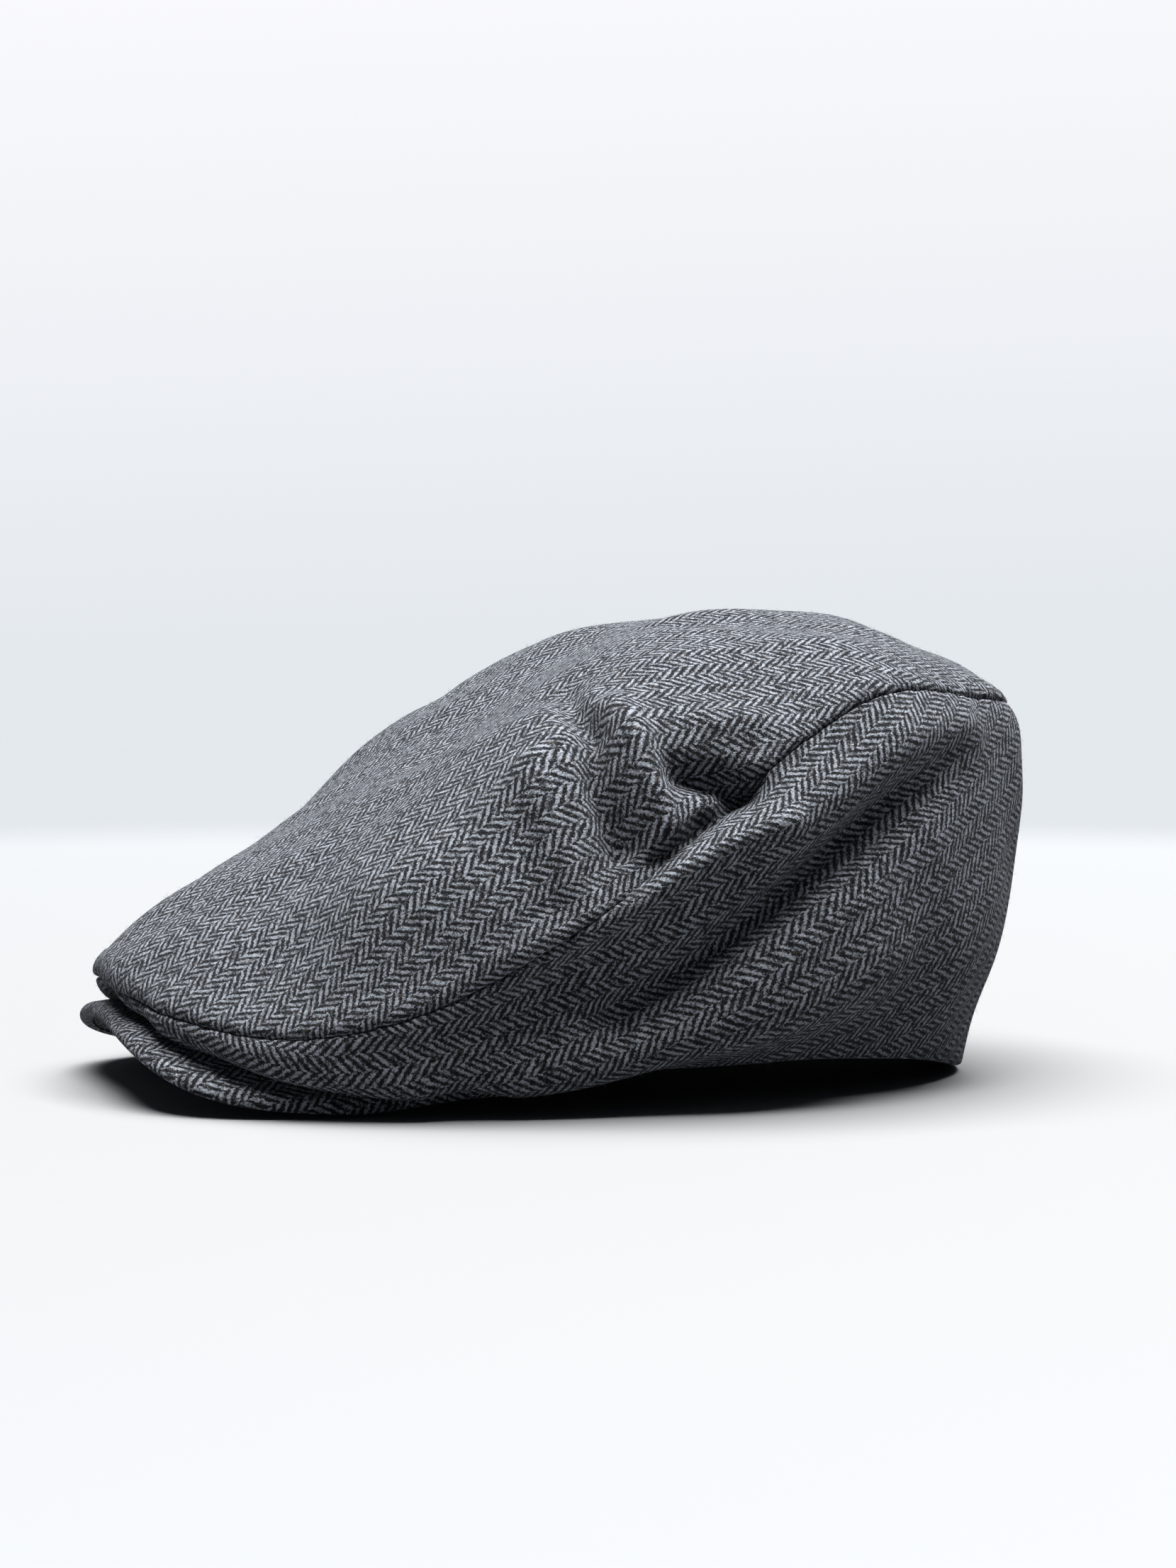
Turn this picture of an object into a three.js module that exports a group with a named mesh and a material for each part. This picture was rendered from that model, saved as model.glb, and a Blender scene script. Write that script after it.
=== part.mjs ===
// Flat cap (newsboy family): a three-panel tweed crown over a stiffened brim, size 58.
// Millimetres, +Z up, front towards -Y, wearer's left towards +X, standing on z = 0.
import * as THREE from 'three';

// ---------- driving dimensions ----------
const crownWidth = 208;          // widest, across the temples
const crownLength = 268;         // nose of the crown to the bulge at the back
const crownHeight = 132;         // table to the highest point of the top panel

const woolThickness = 1.8;       // brushed tweed
const interliningThickness = 0.6;
const liningThickness = 0.5;
const tapeThickness = 0.6;
const clearance = 0.3;           // air left between neighbouring layers
const seamGap = 0.6;             // air left between the edges of two sewn panels

const sweatbandHeight = 28;
const sweatbandThickness = 1.0;
const stayTapeHeight = 8;
const stayTapeThickness = 0.4;
const seamTapeWidth = 10;
const backTapeTop = 3.3;         // ring levels between which the back tape runs
const backTapeLow = 4.9;
const backTapeSteps = 8;
const interliningLowest = 5.94;  // ring levels at which the inner layers stop above the hem
const liningLowest = 5.9;
const bandLow = 1;               // heights of the two bands above the hem
const stayLow = 4;

const brimHalfWidth = 82;
const brimNoseGap = 3.6;         // air between the crown and the brim at the middle of the nose
const brimShow = 2;              // how far the brim looks out beyond the nose of the crown
const brimEndRise = 5;           // rise of the brim's two ends at the temples
const brimCoverThickness = 1.4;
const brimBoardThickness = 1.4;
const underCoverThickness = 1.0;
const brimWrap = 2.2;            // cloth turned round the outer edge of the board
const brimEdgeRound = 0.8;       // the outer edge bulges this far at its middle
const brimTuck = 5;              // drop from the hem to the sewn edge of the brim
const brimSquareness = 3.9;      // exponent of the superellipse of the brim's outline
const brimEndSetback = 8;        // the ends of the outer edge lie this far in front of the inner ones
const brimWingSetback = 50;      // behind this distance from the nose the wings begin to rise
const brimInsideEdge = 1.5;      // the sewn edge stands this far outside the hem line

const snapRadius = 4.5;
const snapThickness = 0.8;
const snapDiscThickness = 0.5;
const snapNubRadius = 1.5;
const snapNubHeight = 0.8;
const snapBoreRadius = 1.9;
const snapSetback = 20;          // from the nose of the crown back to the snap
const snapFacets = 20;

const labelWidth = 24;
const labelHeight = 22;
const labelThickness = 0.6;
const labelDrop = 1;             // below the top edge of the sweatband

const turnSteps = 40;            // facets once round the head
const brimSteps = 24;

// ---------- the hat block ----------
// Rings of the outer surface from the middle of the top down to the hem. Each ring gives its reach
// from the block's upright axis and its height, every 30 degrees from the front round to the back.
const blockWidth = 208;
const blockLength = 268;
const blockHeight = 132;
const blockAxisY = 20.5;
const blockTop = 127;
const rings = [
  { reach: [52, 51, 47, 44, 44, 47, 52], height: [98, 106, 119, 125, 128, 129.5, 131.5] },
  { reach: [125, 117, 99, 81, 78, 77, 82], height: [56, 60, 93, 109, 122.5, 124, 122.5] },
  { reach: [152, 146.5, 118, 98, 95, 103, 110], height: [36, 23.5, 41, 83, 111.5, 109, 105] },
  { reach: [151, 147.5, 114, 103, 104, 108.5, 112.5], height: [30.5, 18, 32, 60, 81, 85, 85] },
  { reach: [147, 142, 109, 101, 101, 106, 104], height: [27, 15, 10, 26, 38.5, 44, 41] },
  { reach: [99, 96, 88.5, 83, 85, 91.5, 96], height: [34, 26, 13, 11, 10.5, 5.5, 0] },
];
const seamRing = 3;
const hemRing = 6;
const front = -Math.PI / 2;
const back = Math.PI / 2;

const gradeX = crownWidth / blockWidth;
const gradeY = crownLength / blockLength;
const gradeZ = crownHeight / blockHeight;

// Smooth even curve through values given at equal angles from the front to the back.
function around(values, phi) {
  const last = values.length - 1;
  const turn = phi - front;
  let sum = 0;
  for (let wave = 0; wave <= last; wave++) {
    let weight = 0;
    for (let k = 0; k <= last; k++) {
      const end = k === 0 || k === last ? 0.5 : 1;
      weight += end * values[k] * Math.cos((wave * k * Math.PI) / last);
    }
    const half = wave === 0 || wave === last ? 0.5 : 1;
    sum += ((2 * half) / last) * weight * Math.cos(wave * turn);
  }
  return sum;
}

function ringAt(level, phi) {
  if (level === 0) return [0, blockTop];
  if (level < 0) return [-around(rings[0].reach, phi + Math.PI), around(rings[0].height, phi + Math.PI)];
  const ring = rings[Math.min(level, hemRing) - 1];
  const point = [around(ring.reach, phi), around(ring.height, phi)];
  if (level <= hemRing) return point;
  const above = rings[hemRing - 2];
  return [2 * point[0] - around(above.reach, phi), 2 * point[1] - around(above.height, phi)];
}

// Slope at b of a smooth line through a, b and c, whose steps may differ in length.
function slopeThrough(a, b, c, k) {
  const before = Math.hypot(b[0] - a[0], b[1] - a[1]) ** 0.5;
  const after = Math.hypot(c[0] - b[0], c[1] - b[1]) ** 0.5;
  return (b[k] - a[k]) / before - (c[k] - a[k]) / (before + after) + (c[k] - b[k]) / after;
}

// Point of the crown's outer surface: phi is the plan angle, t runs 0 (top) to 6 (hem).
function crownPoint(phi, t) {
  const level = Math.min(Math.floor(t), hemRing - 1);
  const f = t - level;
  const [a, b, c, d] = [-1, 0, 1, 2].map((step) => ringAt(level + step, phi));
  const span = Math.hypot(c[0] - b[0], c[1] - b[1]) ** 0.5;
  const blend = (k) => {
    const leave = slopeThrough(a, b, c, k) * span;
    const arrive = slopeThrough(b, c, d, k) * span;
    const rest = 3 * (c[k] - b[k]) - 2 * leave - arrive;
    return b[k] + leave * f + rest * f * f + (leave + arrive - 2 * (c[k] - b[k])) * f * f * f;
  };
  const reach = blend(0);
  return new THREE.Vector3(
    gradeX * reach * Math.cos(phi),
    gradeY * (blockAxisY + reach * Math.sin(phi)),
    gradeZ * blend(1),
  );
}

function crownNormal(phi, t) {
  if (t === 0) {
    const sum = new THREE.Vector3();
    for (let k = 0; k < turnSteps; k++) sum.add(crownNormal((k * 2 * Math.PI) / turnSteps, 0.2));
    return sum.normalize();
  }
  const step = 0.02;
  const round = crownPoint(phi + step, t).sub(crownPoint(phi - step, t));
  const down = crownPoint(phi, Math.min(t + step, hemRing)).sub(crownPoint(phi, t - step));
  return down.cross(round).normalize();
}

// The same point taken inwards through the layers of cloth.
function layerPoint(phi, t, depth) {
  return crownPoint(phi, t).addScaledVector(crownNormal(phi, t), -depth);
}

// ---------- mesh helpers ----------
function closedMesh(name, points, faces, look) {
  let volume = 0;
  for (const [a, b, c] of faces) volume += points[a].dot(points[b].clone().cross(points[c]));
  const indices = faces.flatMap(([a, b, c]) => (volume > 0 ? [a, b, c] : [a, c, b]));
  const geometry = new THREE.BufferGeometry();
  geometry.setAttribute('position', new THREE.Float32BufferAttribute(points.flatMap((p) => p.toArray()), 3));
  geometry.setIndex(indices);
  geometry.computeVertexNormals();
  const mesh = new THREE.Mesh(geometry, new THREE.MeshStandardMaterial(look));
  mesh.name = name;
  return mesh;
}

// Closed body from a row of matching sections. A closed row joins its last section to its first.
// A section is a strip: its second half runs back beside its first, so its ends close in pairs.
function loft(name, sections, look, closedRow = false) {
  const count = sections[0].length;
  const points = sections.flat();
  const faces = [];
  const pairs = closedRow ? sections.length : sections.length - 1;
  for (let i = 0; i < pairs; i++) {
    const next = (i + 1) % sections.length;
    for (let j = 0; j < count; j++) {
      const k = (j + 1) % count;
      const [a, b, c, d] = [i * count + j, next * count + j, next * count + k, i * count + k];
      if (j < count / 2) faces.push([a, b, c], [a, c, d]);
      else faces.push([a, b, d], [b, c, d]);
    }
  }
  if (!closedRow) {
    const start = (sections.length - 1) * count;
    for (let j = 0; j + 1 < count / 2; j++) {
      const [a, b, c, d] = [j, j + 1, count - 2 - j, count - 1 - j];
      faces.push([a, b, c], [a, c, d]);
      faces.push([start + a, start + c, start + b], [start + a, start + d, start + c]);
    }
  }
  return closedMesh(name, points, faces, look);
}

// ---------- crown layers ----------
const topRows = [0.6, 1.2, 1.8, 2.35, 2.75];
const sideRows = [3.4, 3.8, 4.2, 4.6, 5, 5.5];

// Share of a ring step that makes up a distance along the surface at angle phi.
function ringShare(phi, t, distance) {
  return (0.1 * distance) / crownPoint(phi, t - 0.05).distanceTo(crownPoint(phi, t + 0.05));
}

function topLayer(name, outer, thickness, look) {
  const points = [layerPoint(0, 0, outer), layerPoint(0, 0, outer + thickness)];
  const faces = [];
  const rows = topRows.length + 1;
  for (const depth of [outer, outer + thickness]) {
    for (let row = 0; row < rows; row++) {
      for (let k = 0; k < turnSteps; k++) {
        const phi = front + (k * 2 * Math.PI) / turnSteps;
        const t = row < topRows.length ? topRows[row] : seamRing - ringShare(phi, seamRing, seamGap / 2);
        points.push(layerPoint(phi, t, depth));
      }
    }
  }
  const at = (side, row, k) => 2 + (side * rows + row) * turnSteps + (k % turnSteps);
  for (let k = 0; k < turnSteps; k++) {
    faces.push([0, at(0, 0, k), at(0, 0, k + 1)], [1, at(1, 0, k + 1), at(1, 0, k)]);
    for (let row = 0; row + 1 < rows; row++) {
      faces.push([at(0, row, k), at(0, row + 1, k), at(0, row + 1, k + 1)]);
      faces.push([at(0, row, k), at(0, row + 1, k + 1), at(0, row, k + 1)]);
      faces.push([at(1, row, k), at(1, row + 1, k + 1), at(1, row + 1, k)]);
      faces.push([at(1, row, k), at(1, row, k + 1), at(1, row + 1, k + 1)]);
    }
    faces.push([at(0, rows - 1, k), at(1, rows - 1, k), at(1, rows - 1, k + 1)]);
    faces.push([at(0, rows - 1, k), at(1, rows - 1, k + 1), at(0, rows - 1, k + 1)]);
  }
  return closedMesh(name, points, faces, look);
}

// One side of the crown, from the seam to a level just above the hem.
function sideLayer(name, side, outer, thickness, lowest, look) {
  const sections = [];
  const steps = turnSteps / 2;
  for (let k = 0; k <= steps; k++) {
    let phi = front + (k * Math.PI) / steps;
    if (k === 0) phi += seamGap / 2 / (gradeY * blockAxisY - crownPoint(front, hemRing).y);
    if (k === steps) phi -= seamGap / 2 / (crownPoint(back, hemRing).y - gradeY * blockAxisY);
    const levels = [seamRing + ringShare(phi, seamRing, seamGap / 2), ...sideRows, lowest];
    const outside = levels.map((t) => layerPoint(phi, t, outer));
    const inside = levels.map((t) => layerPoint(phi, t, outer + thickness)).reverse();
    const section = [...outside, ...inside];
    for (const point of section) point.x *= side;
    sections.push(section);
  }
  return loft(name, sections, look);
}

const interliningDepth = woolThickness + clearance;
const liningDepth = interliningDepth + interliningThickness + clearance;
const tapeDepth = liningDepth + liningThickness + 2 * clearance;

const wool = { color: 0x5b5e66, roughness: 0.95, metalness: 0 };
const canvas = { color: 0xcfc8b8, roughness: 0.9, metalness: 0 };
const satin = { color: 0x23252b, roughness: 0.45, metalness: 0 };
const ribbon = { color: 0x17181c, roughness: 0.7, metalness: 0 };

const cap = new THREE.Group();
const sides = [['left', 1], ['right', -1]];

cap.add(topLayer('top_panel', 0, woolThickness, wool));
cap.add(topLayer('top_interlining', interliningDepth, interliningThickness, canvas));
cap.add(topLayer('top_lining', liningDepth, liningThickness, satin));
for (const [word, side] of sides) {
  cap.add(sideLayer(`${word}_side_panel`, side, 0, woolThickness, hemRing, wool));
  cap.add(sideLayer(`${word}_interlining`, side, interliningDepth, interliningThickness, interliningLowest, canvas));
  cap.add(sideLayer(`${word}_lining`, side, liningDepth, liningThickness, liningLowest, satin));
}

// ---------- tapes over the lining seams ----------
const tapeFirst = 5;               // facets from the front at which the seam tapes begin
const tapeLast = turnSteps / 2 - 1;

for (const [word, side] of sides) {
  const sections = [];
  for (let k = tapeFirst; k <= tapeLast; k++) {
    const phi = front + (k * 2 * Math.PI) / turnSteps;
    const half = ringShare(phi, seamRing, seamTapeWidth / 2);
    const levels = [seamRing - half, seamRing, seamRing + half];
    const section = [
      ...levels.map((t) => layerPoint(phi, t, tapeDepth)),
      ...levels.map((t) => layerPoint(phi, t, tapeDepth + tapeThickness)).reverse(),
    ];
    for (const point of section) point.x *= side;
    sections.push(section);
  }
  cap.add(loft(`${word}_seam_tape`, sections, ribbon));
}

const backTapeDepth = tapeDepth + clearance;
const backTapeSections = [];
for (let k = 0; k <= backTapeSteps; k++) {
  const t = backTapeTop + (k * (backTapeLow - backTapeTop)) / backTapeSteps;
  const half = seamTapeWidth / 2 / (crownPoint(back, t).y - gradeY * blockAxisY);
  const angles = [back - half, back, back + half];
  backTapeSections.push([
    ...angles.map((phi) => layerPoint(phi, t, backTapeDepth)),
    ...angles.map((phi) => layerPoint(phi, t, backTapeDepth + tapeThickness)).reverse(),
  ]);
}
cap.add(loft('back_seam_tape', backTapeSections, ribbon));

// ---------- bands inside the head opening ----------
// Upright band that follows the hem, a given distance inside it.
function hemBand(name, inset, thickness, low, high, look) {
  const sections = [];
  for (let k = 0; k < turnSteps; k++) {
    const phi = front + (k * 2 * Math.PI) / turnSteps;
    const hem = crownPoint(phi, hemRing);
    const inwards = new THREE.Vector3(Math.cos(phi), Math.sin(phi), 0);
    const edge = (depth, rise) => hem.clone().addScaledVector(inwards, -depth).setZ(hem.z + rise);
    sections.push([edge(inset, low), edge(inset, high), edge(inset + thickness, high), edge(inset + thickness, low)]);
  }
  return loft(name, sections, look, true);
}

const stayInset = liningDepth + liningThickness + 2 * clearance;
const bandInset = stayInset + stayTapeThickness + clearance;
cap.add(hemBand('hem_stay_tape', stayInset, stayTapeThickness, stayLow, stayLow + stayTapeHeight, canvas));
cap.add(hemBand('sweatband', bandInset, sweatbandThickness, bandLow, bandLow + sweatbandHeight, ribbon));

// Blank care label, sewn at the top edge of the sweatband and hanging down its inner face.
const hemBack = crownPoint(back, hemRing);
const labelHalfTurn = (labelWidth / 2 + 1) / (hemBack.y - gradeY * blockAxisY);
const labelEdge = crownPoint(back - labelHalfTurn, hemRing);
const labelY = labelEdge.y - bandInset - sweatbandThickness - 2 * clearance - labelThickness / 2;
const labelTop = hemBack.z + bandLow + sweatbandHeight - labelDrop;
const label = new THREE.Mesh(
  new THREE.BoxGeometry(labelWidth, labelThickness, labelHeight),
  new THREE.MeshStandardMaterial({ color: 0xd9d6cc, roughness: 0.6, metalness: 0 }),
);
label.name = 'care_label';
label.position.set(0, labelY, labelTop - labelHeight / 2);
cap.add(label);

// ---------- brim ----------
const brimThickness = brimCoverThickness + brimBoardThickness + underCoverThickness + 2 * clearance;
const noseY = crownPoint(front, seamRing).y;
const brimEndAngle = (57 * Math.PI) / 180;      // from the front to the brim's ends, along the hem
const noseUnderside = 5;                        // ring level where the crown turns under at the nose
const brimEndY = crownPoint(front + brimEndAngle, hemRing).y - brimEndSetback;
const brimLength = brimEndY - (noseY - brimShow);
const wingY = noseY + brimWingSetback;
const brimArch = crownPoint(front, noseUnderside).z - brimNoseGap - brimThickness;

function brimOuterEdge(share) {
  const angle = (share * Math.PI) / 2;
  const side = Math.abs(Math.sin(angle) / brimHalfWidth) ** brimSquareness;
  const ahead = Math.abs(Math.cos(angle) / brimLength) ** brimSquareness;
  const reach = (side + ahead) ** (-1 / brimSquareness);
  const x = reach * Math.sin(angle);
  const y = brimEndY - reach * Math.cos(angle);
  const rise = THREE.MathUtils.smoothstep(y, wingY, brimEndY) * brimEndRise;
  const z = brimArch * (1 - (x / brimHalfWidth) ** 2) + rise + brimThickness;
  return new THREE.Vector3(x, y, z);
}

function brimInnerEdge(share) {
  const phi = front + share * brimEndAngle;
  const hem = crownPoint(phi, hemRing);
  hem.addScaledVector(new THREE.Vector3(Math.cos(phi), Math.sin(phi), 0), brimInsideEdge);
  return hem.setZ(hem.z - brimTuck);
}

// Point of the brim: share runs -1 to 1 from end to end, reach 0 to 1 from the sewn edge outwards.
function brimPoint(share, reach, depth) {
  const point = brimInnerEdge(share).lerp(brimOuterEdge(share), reach);
  return point.setZ(point.z - depth);
}

function brimWidth(share) {
  return brimInnerEdge(share).distanceTo(brimOuterEdge(share));
}

const brimStations = [0, 0.25, 0.5, 0.75];

function brimSections(makeSection) {
  const sections = [];
  for (let k = 0; k <= brimSteps; k++) sections.push(makeSection(-1 + (2 * k) / brimSteps));
  return sections;
}

function brimSheet(name, upper, lower, look) {
  const sections = brimSections((share) => {
    const edge = 1 - (brimWrap + clearance) / brimWidth(share);
    const reaches = [...brimStations, 1].map((r) => r * edge);
    return [
      ...reaches.map((r) => brimPoint(share, r, upper)),
      ...reaches.map((r) => brimPoint(share, r, lower)).reverse(),
    ];
  });
  return loft(name, sections, look);
}

const boardTop = brimCoverThickness + clearance;
const underTop = boardTop + brimBoardThickness + clearance;
cap.add(loft('brim_top_cover', brimSections((share) => {
  const turned = 1 - brimWrap / brimWidth(share);
  const roundOut = 1 + brimEdgeRound / brimWidth(share);
  const reaches = [...brimStations.map((r) => r * turned), turned];
  return [
    ...[...reaches, 1].map((r) => brimPoint(share, r, 0)),
    brimPoint(share, roundOut, brimThickness / 2),
    brimPoint(share, 1, brimThickness),
    brimPoint(share, turned, brimThickness),
    ...reaches.reverse().map((r) => brimPoint(share, r, brimCoverThickness)),
  ];
}), wool));
cap.add(brimSheet('brim_board', boardTop, boardTop + brimBoardThickness,
  { color: 0x2b2b2d, roughness: 0.6, metalness: 0 }));
cap.add(brimSheet('brim_under_cover', underTop, underTop + underCoverThickness, wool));

// ---------- snap between crown and brim ----------
const snapY = noseY + snapSetback;
const crownUnderside = surfaceHeight((t) => crownPoint(front, t), noseUnderside, hemRing, snapY);
const brimUpper = surfaceHeight((r) => brimPoint(0, r, 0), 0, 1, snapY);
const snapTilt = Math.atan2(crownUnderside.slope + brimUpper.slope, 2);
const metal = { color: 0x8a8c90, roughness: 0.35, metalness: 1 };

// Height and slope of a fore-and-aft line at one place.
function surfaceHeight(line, low, high, y) {
  let [a, b] = [low, high];
  const rising = line(b).y > line(a).y;
  for (let k = 0; k < 40; k++) {
    const middle = (a + b) / 2;
    if (line(middle).y < y === rising) a = middle;
    else b = middle;
  }
  const [one, two] = [line(a), line(Math.min(a + 0.05, high))];
  return { z: one.z, slope: (two.z - one.z) / (two.y - one.y) };
}

function snapHalf(name, profile, z) {
  const geometry = new THREE.LatheGeometry(profile.map(([r, h]) => new THREE.Vector2(r, h)), snapFacets);
  geometry.rotateX(Math.PI / 2);
  const mesh = new THREE.Mesh(geometry, new THREE.MeshStandardMaterial(metal));
  mesh.name = name;
  mesh.rotation.x = snapTilt;
  mesh.position.set(0, snapY, z);
  return mesh;
}

cap.add(snapHalf('snap_socket', [
  [snapBoreRadius, -snapThickness], [snapRadius, -snapThickness],
  [snapRadius, 0], [snapBoreRadius, 0], [snapBoreRadius, -snapThickness],
], crownUnderside.z - clearance));
cap.add(snapHalf('snap_ball', [
  [0, 0], [snapRadius, 0], [snapRadius, snapDiscThickness], [snapNubRadius, snapDiscThickness],
  [snapNubRadius, snapNubHeight + snapDiscThickness], [0, snapNubHeight + snapDiscThickness],
], brimUpper.z + clearance));

export default cap;
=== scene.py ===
# %% [markdown]
# # A herringbone flat cap
#
# The cap is three pieces of wool tweed, one over the top and one down each side, sewn over an
# interlining and a satin lining, with a ribbon sweatband inside and a stiff brim under the nose.
# The hard facts, such as sizes, bodies and the brim's hinge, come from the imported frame. This
# lesson makes the cloth, one step at a time, in metres and in the same place as the frame.

# %% Load the frame
import math

import bpy
import numpy as np
from mathutils import Matrix, Vector


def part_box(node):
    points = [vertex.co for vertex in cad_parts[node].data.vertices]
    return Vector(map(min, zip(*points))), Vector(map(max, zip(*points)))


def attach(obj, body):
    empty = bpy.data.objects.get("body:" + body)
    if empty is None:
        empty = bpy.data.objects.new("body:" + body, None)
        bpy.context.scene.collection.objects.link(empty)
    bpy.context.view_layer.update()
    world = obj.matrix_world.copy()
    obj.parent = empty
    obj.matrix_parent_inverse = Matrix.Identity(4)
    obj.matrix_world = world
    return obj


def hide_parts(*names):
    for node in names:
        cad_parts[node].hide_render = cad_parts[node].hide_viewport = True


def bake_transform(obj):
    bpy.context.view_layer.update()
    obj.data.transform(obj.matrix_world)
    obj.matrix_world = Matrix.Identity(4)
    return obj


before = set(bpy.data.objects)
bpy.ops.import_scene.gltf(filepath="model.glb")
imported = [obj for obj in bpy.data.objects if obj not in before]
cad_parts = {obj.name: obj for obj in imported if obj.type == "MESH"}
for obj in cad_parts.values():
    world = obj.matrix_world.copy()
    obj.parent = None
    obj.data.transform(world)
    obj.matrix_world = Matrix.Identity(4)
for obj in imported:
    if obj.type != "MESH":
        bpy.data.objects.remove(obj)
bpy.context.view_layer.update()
bpy.ops.object.select_all(action="DESELECT")
MM = 0.001

# %% [markdown]
# ## The camera
#
# The cap is looked at from its left, almost side on and a little from the front, with a long lens,
# so the picture has hardly any perspective. The camera stands on an azimuth and an elevation
# round one point inside the cap, and then aims a little above it, which leaves room over the cap.

# %% Camera
AZIMUTH = math.radians(76)
ELEVATION = math.radians(5)
DISTANCE = 1.56
LENS = 125.5
STAND_ROUND = Vector((0, -0.0024, 0.0572))
AIM_RIGHT = 0.0100
AIM_UP = 0.0261

backwards = Vector((
    math.sin(AZIMUTH) * math.cos(ELEVATION),
    -math.cos(AZIMUTH) * math.cos(ELEVATION),
    math.sin(ELEVATION),
))
rightwards = Vector((math.cos(AZIMUTH), math.sin(AZIMUTH), 0))
upwards = backwards.cross(rightwards)
camera_data = bpy.data.cameras.new("camera")
camera_data.lens = LENS
camera_data.sensor_width = 36
camera_data.clip_start = 0.05
camera = bpy.data.objects.new("camera", camera_data)
bpy.context.scene.collection.objects.link(camera)
camera.location = STAND_ROUND + backwards * DISTANCE
aim = STAND_ROUND + rightwards * AIM_RIGHT + upwards * AIM_UP
camera.rotation_mode = "QUATERNION"
camera.rotation_quaternion = (aim - camera.location).to_track_quat("-Z", "Y")
bpy.context.scene.camera = camera
bpy.context.scene.view_settings.view_transform = "Standard"
print("camera at", [round(v, 3) for v in camera.location])

# %% [markdown]
# ## Shader sums
#
# A weave is arithmetic: which stripe, which yarn, over or under. Wiring dozens of Math nodes by
# hand hides that, so one small class wraps a socket and lets Python's own operators add the
# nodes. Every other node comes from one method, which takes the node's type, its settings and
# what goes into its sockets.

# %% Wire and Finish
class Wire:
    """The output of one node in a finish. Sums on wires add Math nodes."""

    def __init__(self, finish, socket):
        self.finish = finish
        self.socket = socket

    def sum(self, operation, first, second=0.0):
        return self.finish.node("Math", {"operation": operation}, {0: first, 1: second})

    def __add__(self, other):
        return self.sum("ADD", self, other)

    def __radd__(self, other):
        return self.sum("ADD", other, self)

    def __sub__(self, other):
        return self.sum("SUBTRACT", self, other)

    def __rsub__(self, other):
        return self.sum("SUBTRACT", other, self)

    def __mul__(self, other):
        return self.sum("MULTIPLY", self, other)

    def __rmul__(self, other):
        return self.sum("MULTIPLY", other, self)

    def __truediv__(self, other):
        return self.sum("DIVIDE", self, other)

    def __abs__(self):
        return self.sum("ABSOLUTE", self)

    def floor(self):
        return self.sum("FLOOR", self)

    def part(self):
        """What is left of the number over its whole part."""
        return self.sum("FRACT", self)

    def step(self, low, high):
        """0 below low, 1 above high, and smooth between them."""
        inputs = {"Value": self, "From Min": low, "From Max": high}
        return self.finish.node("MapRange", {"interpolation_type": "SMOOTHSTEP"}, inputs)


class Finish:
    """One material, made node by node."""

    def __init__(self, name):
        self.material = bpy.data.materials.new(name)
        self.material.use_nodes = True
        self.tree = self.material.node_tree
        self.tree.nodes.clear()

    def node(self, kind, settings=None, inputs=None, output=0):
        made = self.tree.nodes.new("ShaderNode" + kind)
        for key, value in (settings or {}).items():
            setattr(made, key, value)
        for key, value in (inputs or {}).items():
            if isinstance(value, Wire):
                self.tree.links.new(value.socket, made.inputs[key])
            else:
                made.inputs[key].default_value = value
        return Wire(self, made.outputs[output]) if len(made.outputs) else None

    def mix(self, share, first, second):
        """A colour between two others."""
        return self.node("Mix", {"data_type": "RGBA"}, {0: share, 6: first, 7: second}, 2)

    def noise(self, place, scale, detail=2.0, roughness=0.5, output=0):
        inputs = {"Vector": place, "Scale": scale, "Detail": detail, "Roughness": roughness}
        return self.node("TexNoise", {}, inputs, output)

    def shift(self, place, amount, scale, detail=1.0):
        """The place pushed about by a noise, up to half of amount each way."""
        cloud = self.noise(place, scale, detail, output=1)
        push = self.node("VectorMath", {"operation": "SUBTRACT"}, {0: cloud, 1: (0.5, 0.5, 0.5)})
        push = self.node("VectorMath", {"operation": "SCALE"}, {0: push, "Scale": amount})
        return self.node("VectorMath", {"operation": "ADD"}, {0: place, 1: push})

    def cut_place(self):
        """The place on the flat cut of the cloth, in millimetres."""
        flat = self.node("UVMap", {"uv_map": "cut"})
        return self.node("VectorMath", {"operation": "SCALE"}, {0: flat, "Scale": 1 / MM})

    def split(self, place):
        parts = self.node("SeparateXYZ", {}, {0: place})
        return parts, Wire(self, parts.socket.node.outputs[1])

    def bump(self, height, distance, strength=1.0):
        return self.node("Bump", {}, {"Height": height, "Distance": distance, "Strength": strength})

    def surface(self, **sockets):
        """The shader itself. A socket's name is written with _ for a space."""
        named = {key.replace("_", " "): value for key, value in sockets.items()}
        shader = self.node("BsdfPrincipled", {}, named)
        self.node("OutputMaterial", {}, {"Surface": shader})
        return self.material


# %% [markdown]
# ## Herringbone tweed
#
# Herringbone is a twill whose slant turns back every few yarns. The warp yarns lie along V, a
# light one floating over the dark weft for a few rows, and each next yarn steps up a little, so
# the floats line up as slanting ribs. At each stripe's edge the slant reverses and the ribs jump
# by half a repeat. The wool is brushed, so its fibres blur the ribs: noise shifts the place
# before the weave is worked out, and roughens it afterwards.

# %% Tweed
STRIPE = 4.5            # width of one slant, mm
RIB = 2.75              # from one rib to the next, along the stripe, mm
YARNS = 7               # yarns in one stripe
WEAVE_DEPTH = 0.00042   # metres from the weave's low to its high
LIGHT_YARN = (0.212, 0.229, 0.260, 1)
DARK_YARN = (0.0030, 0.0032, 0.0045, 1)
BROWN_FLECK = (0.115, 0.090, 0.068, 1)


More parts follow.
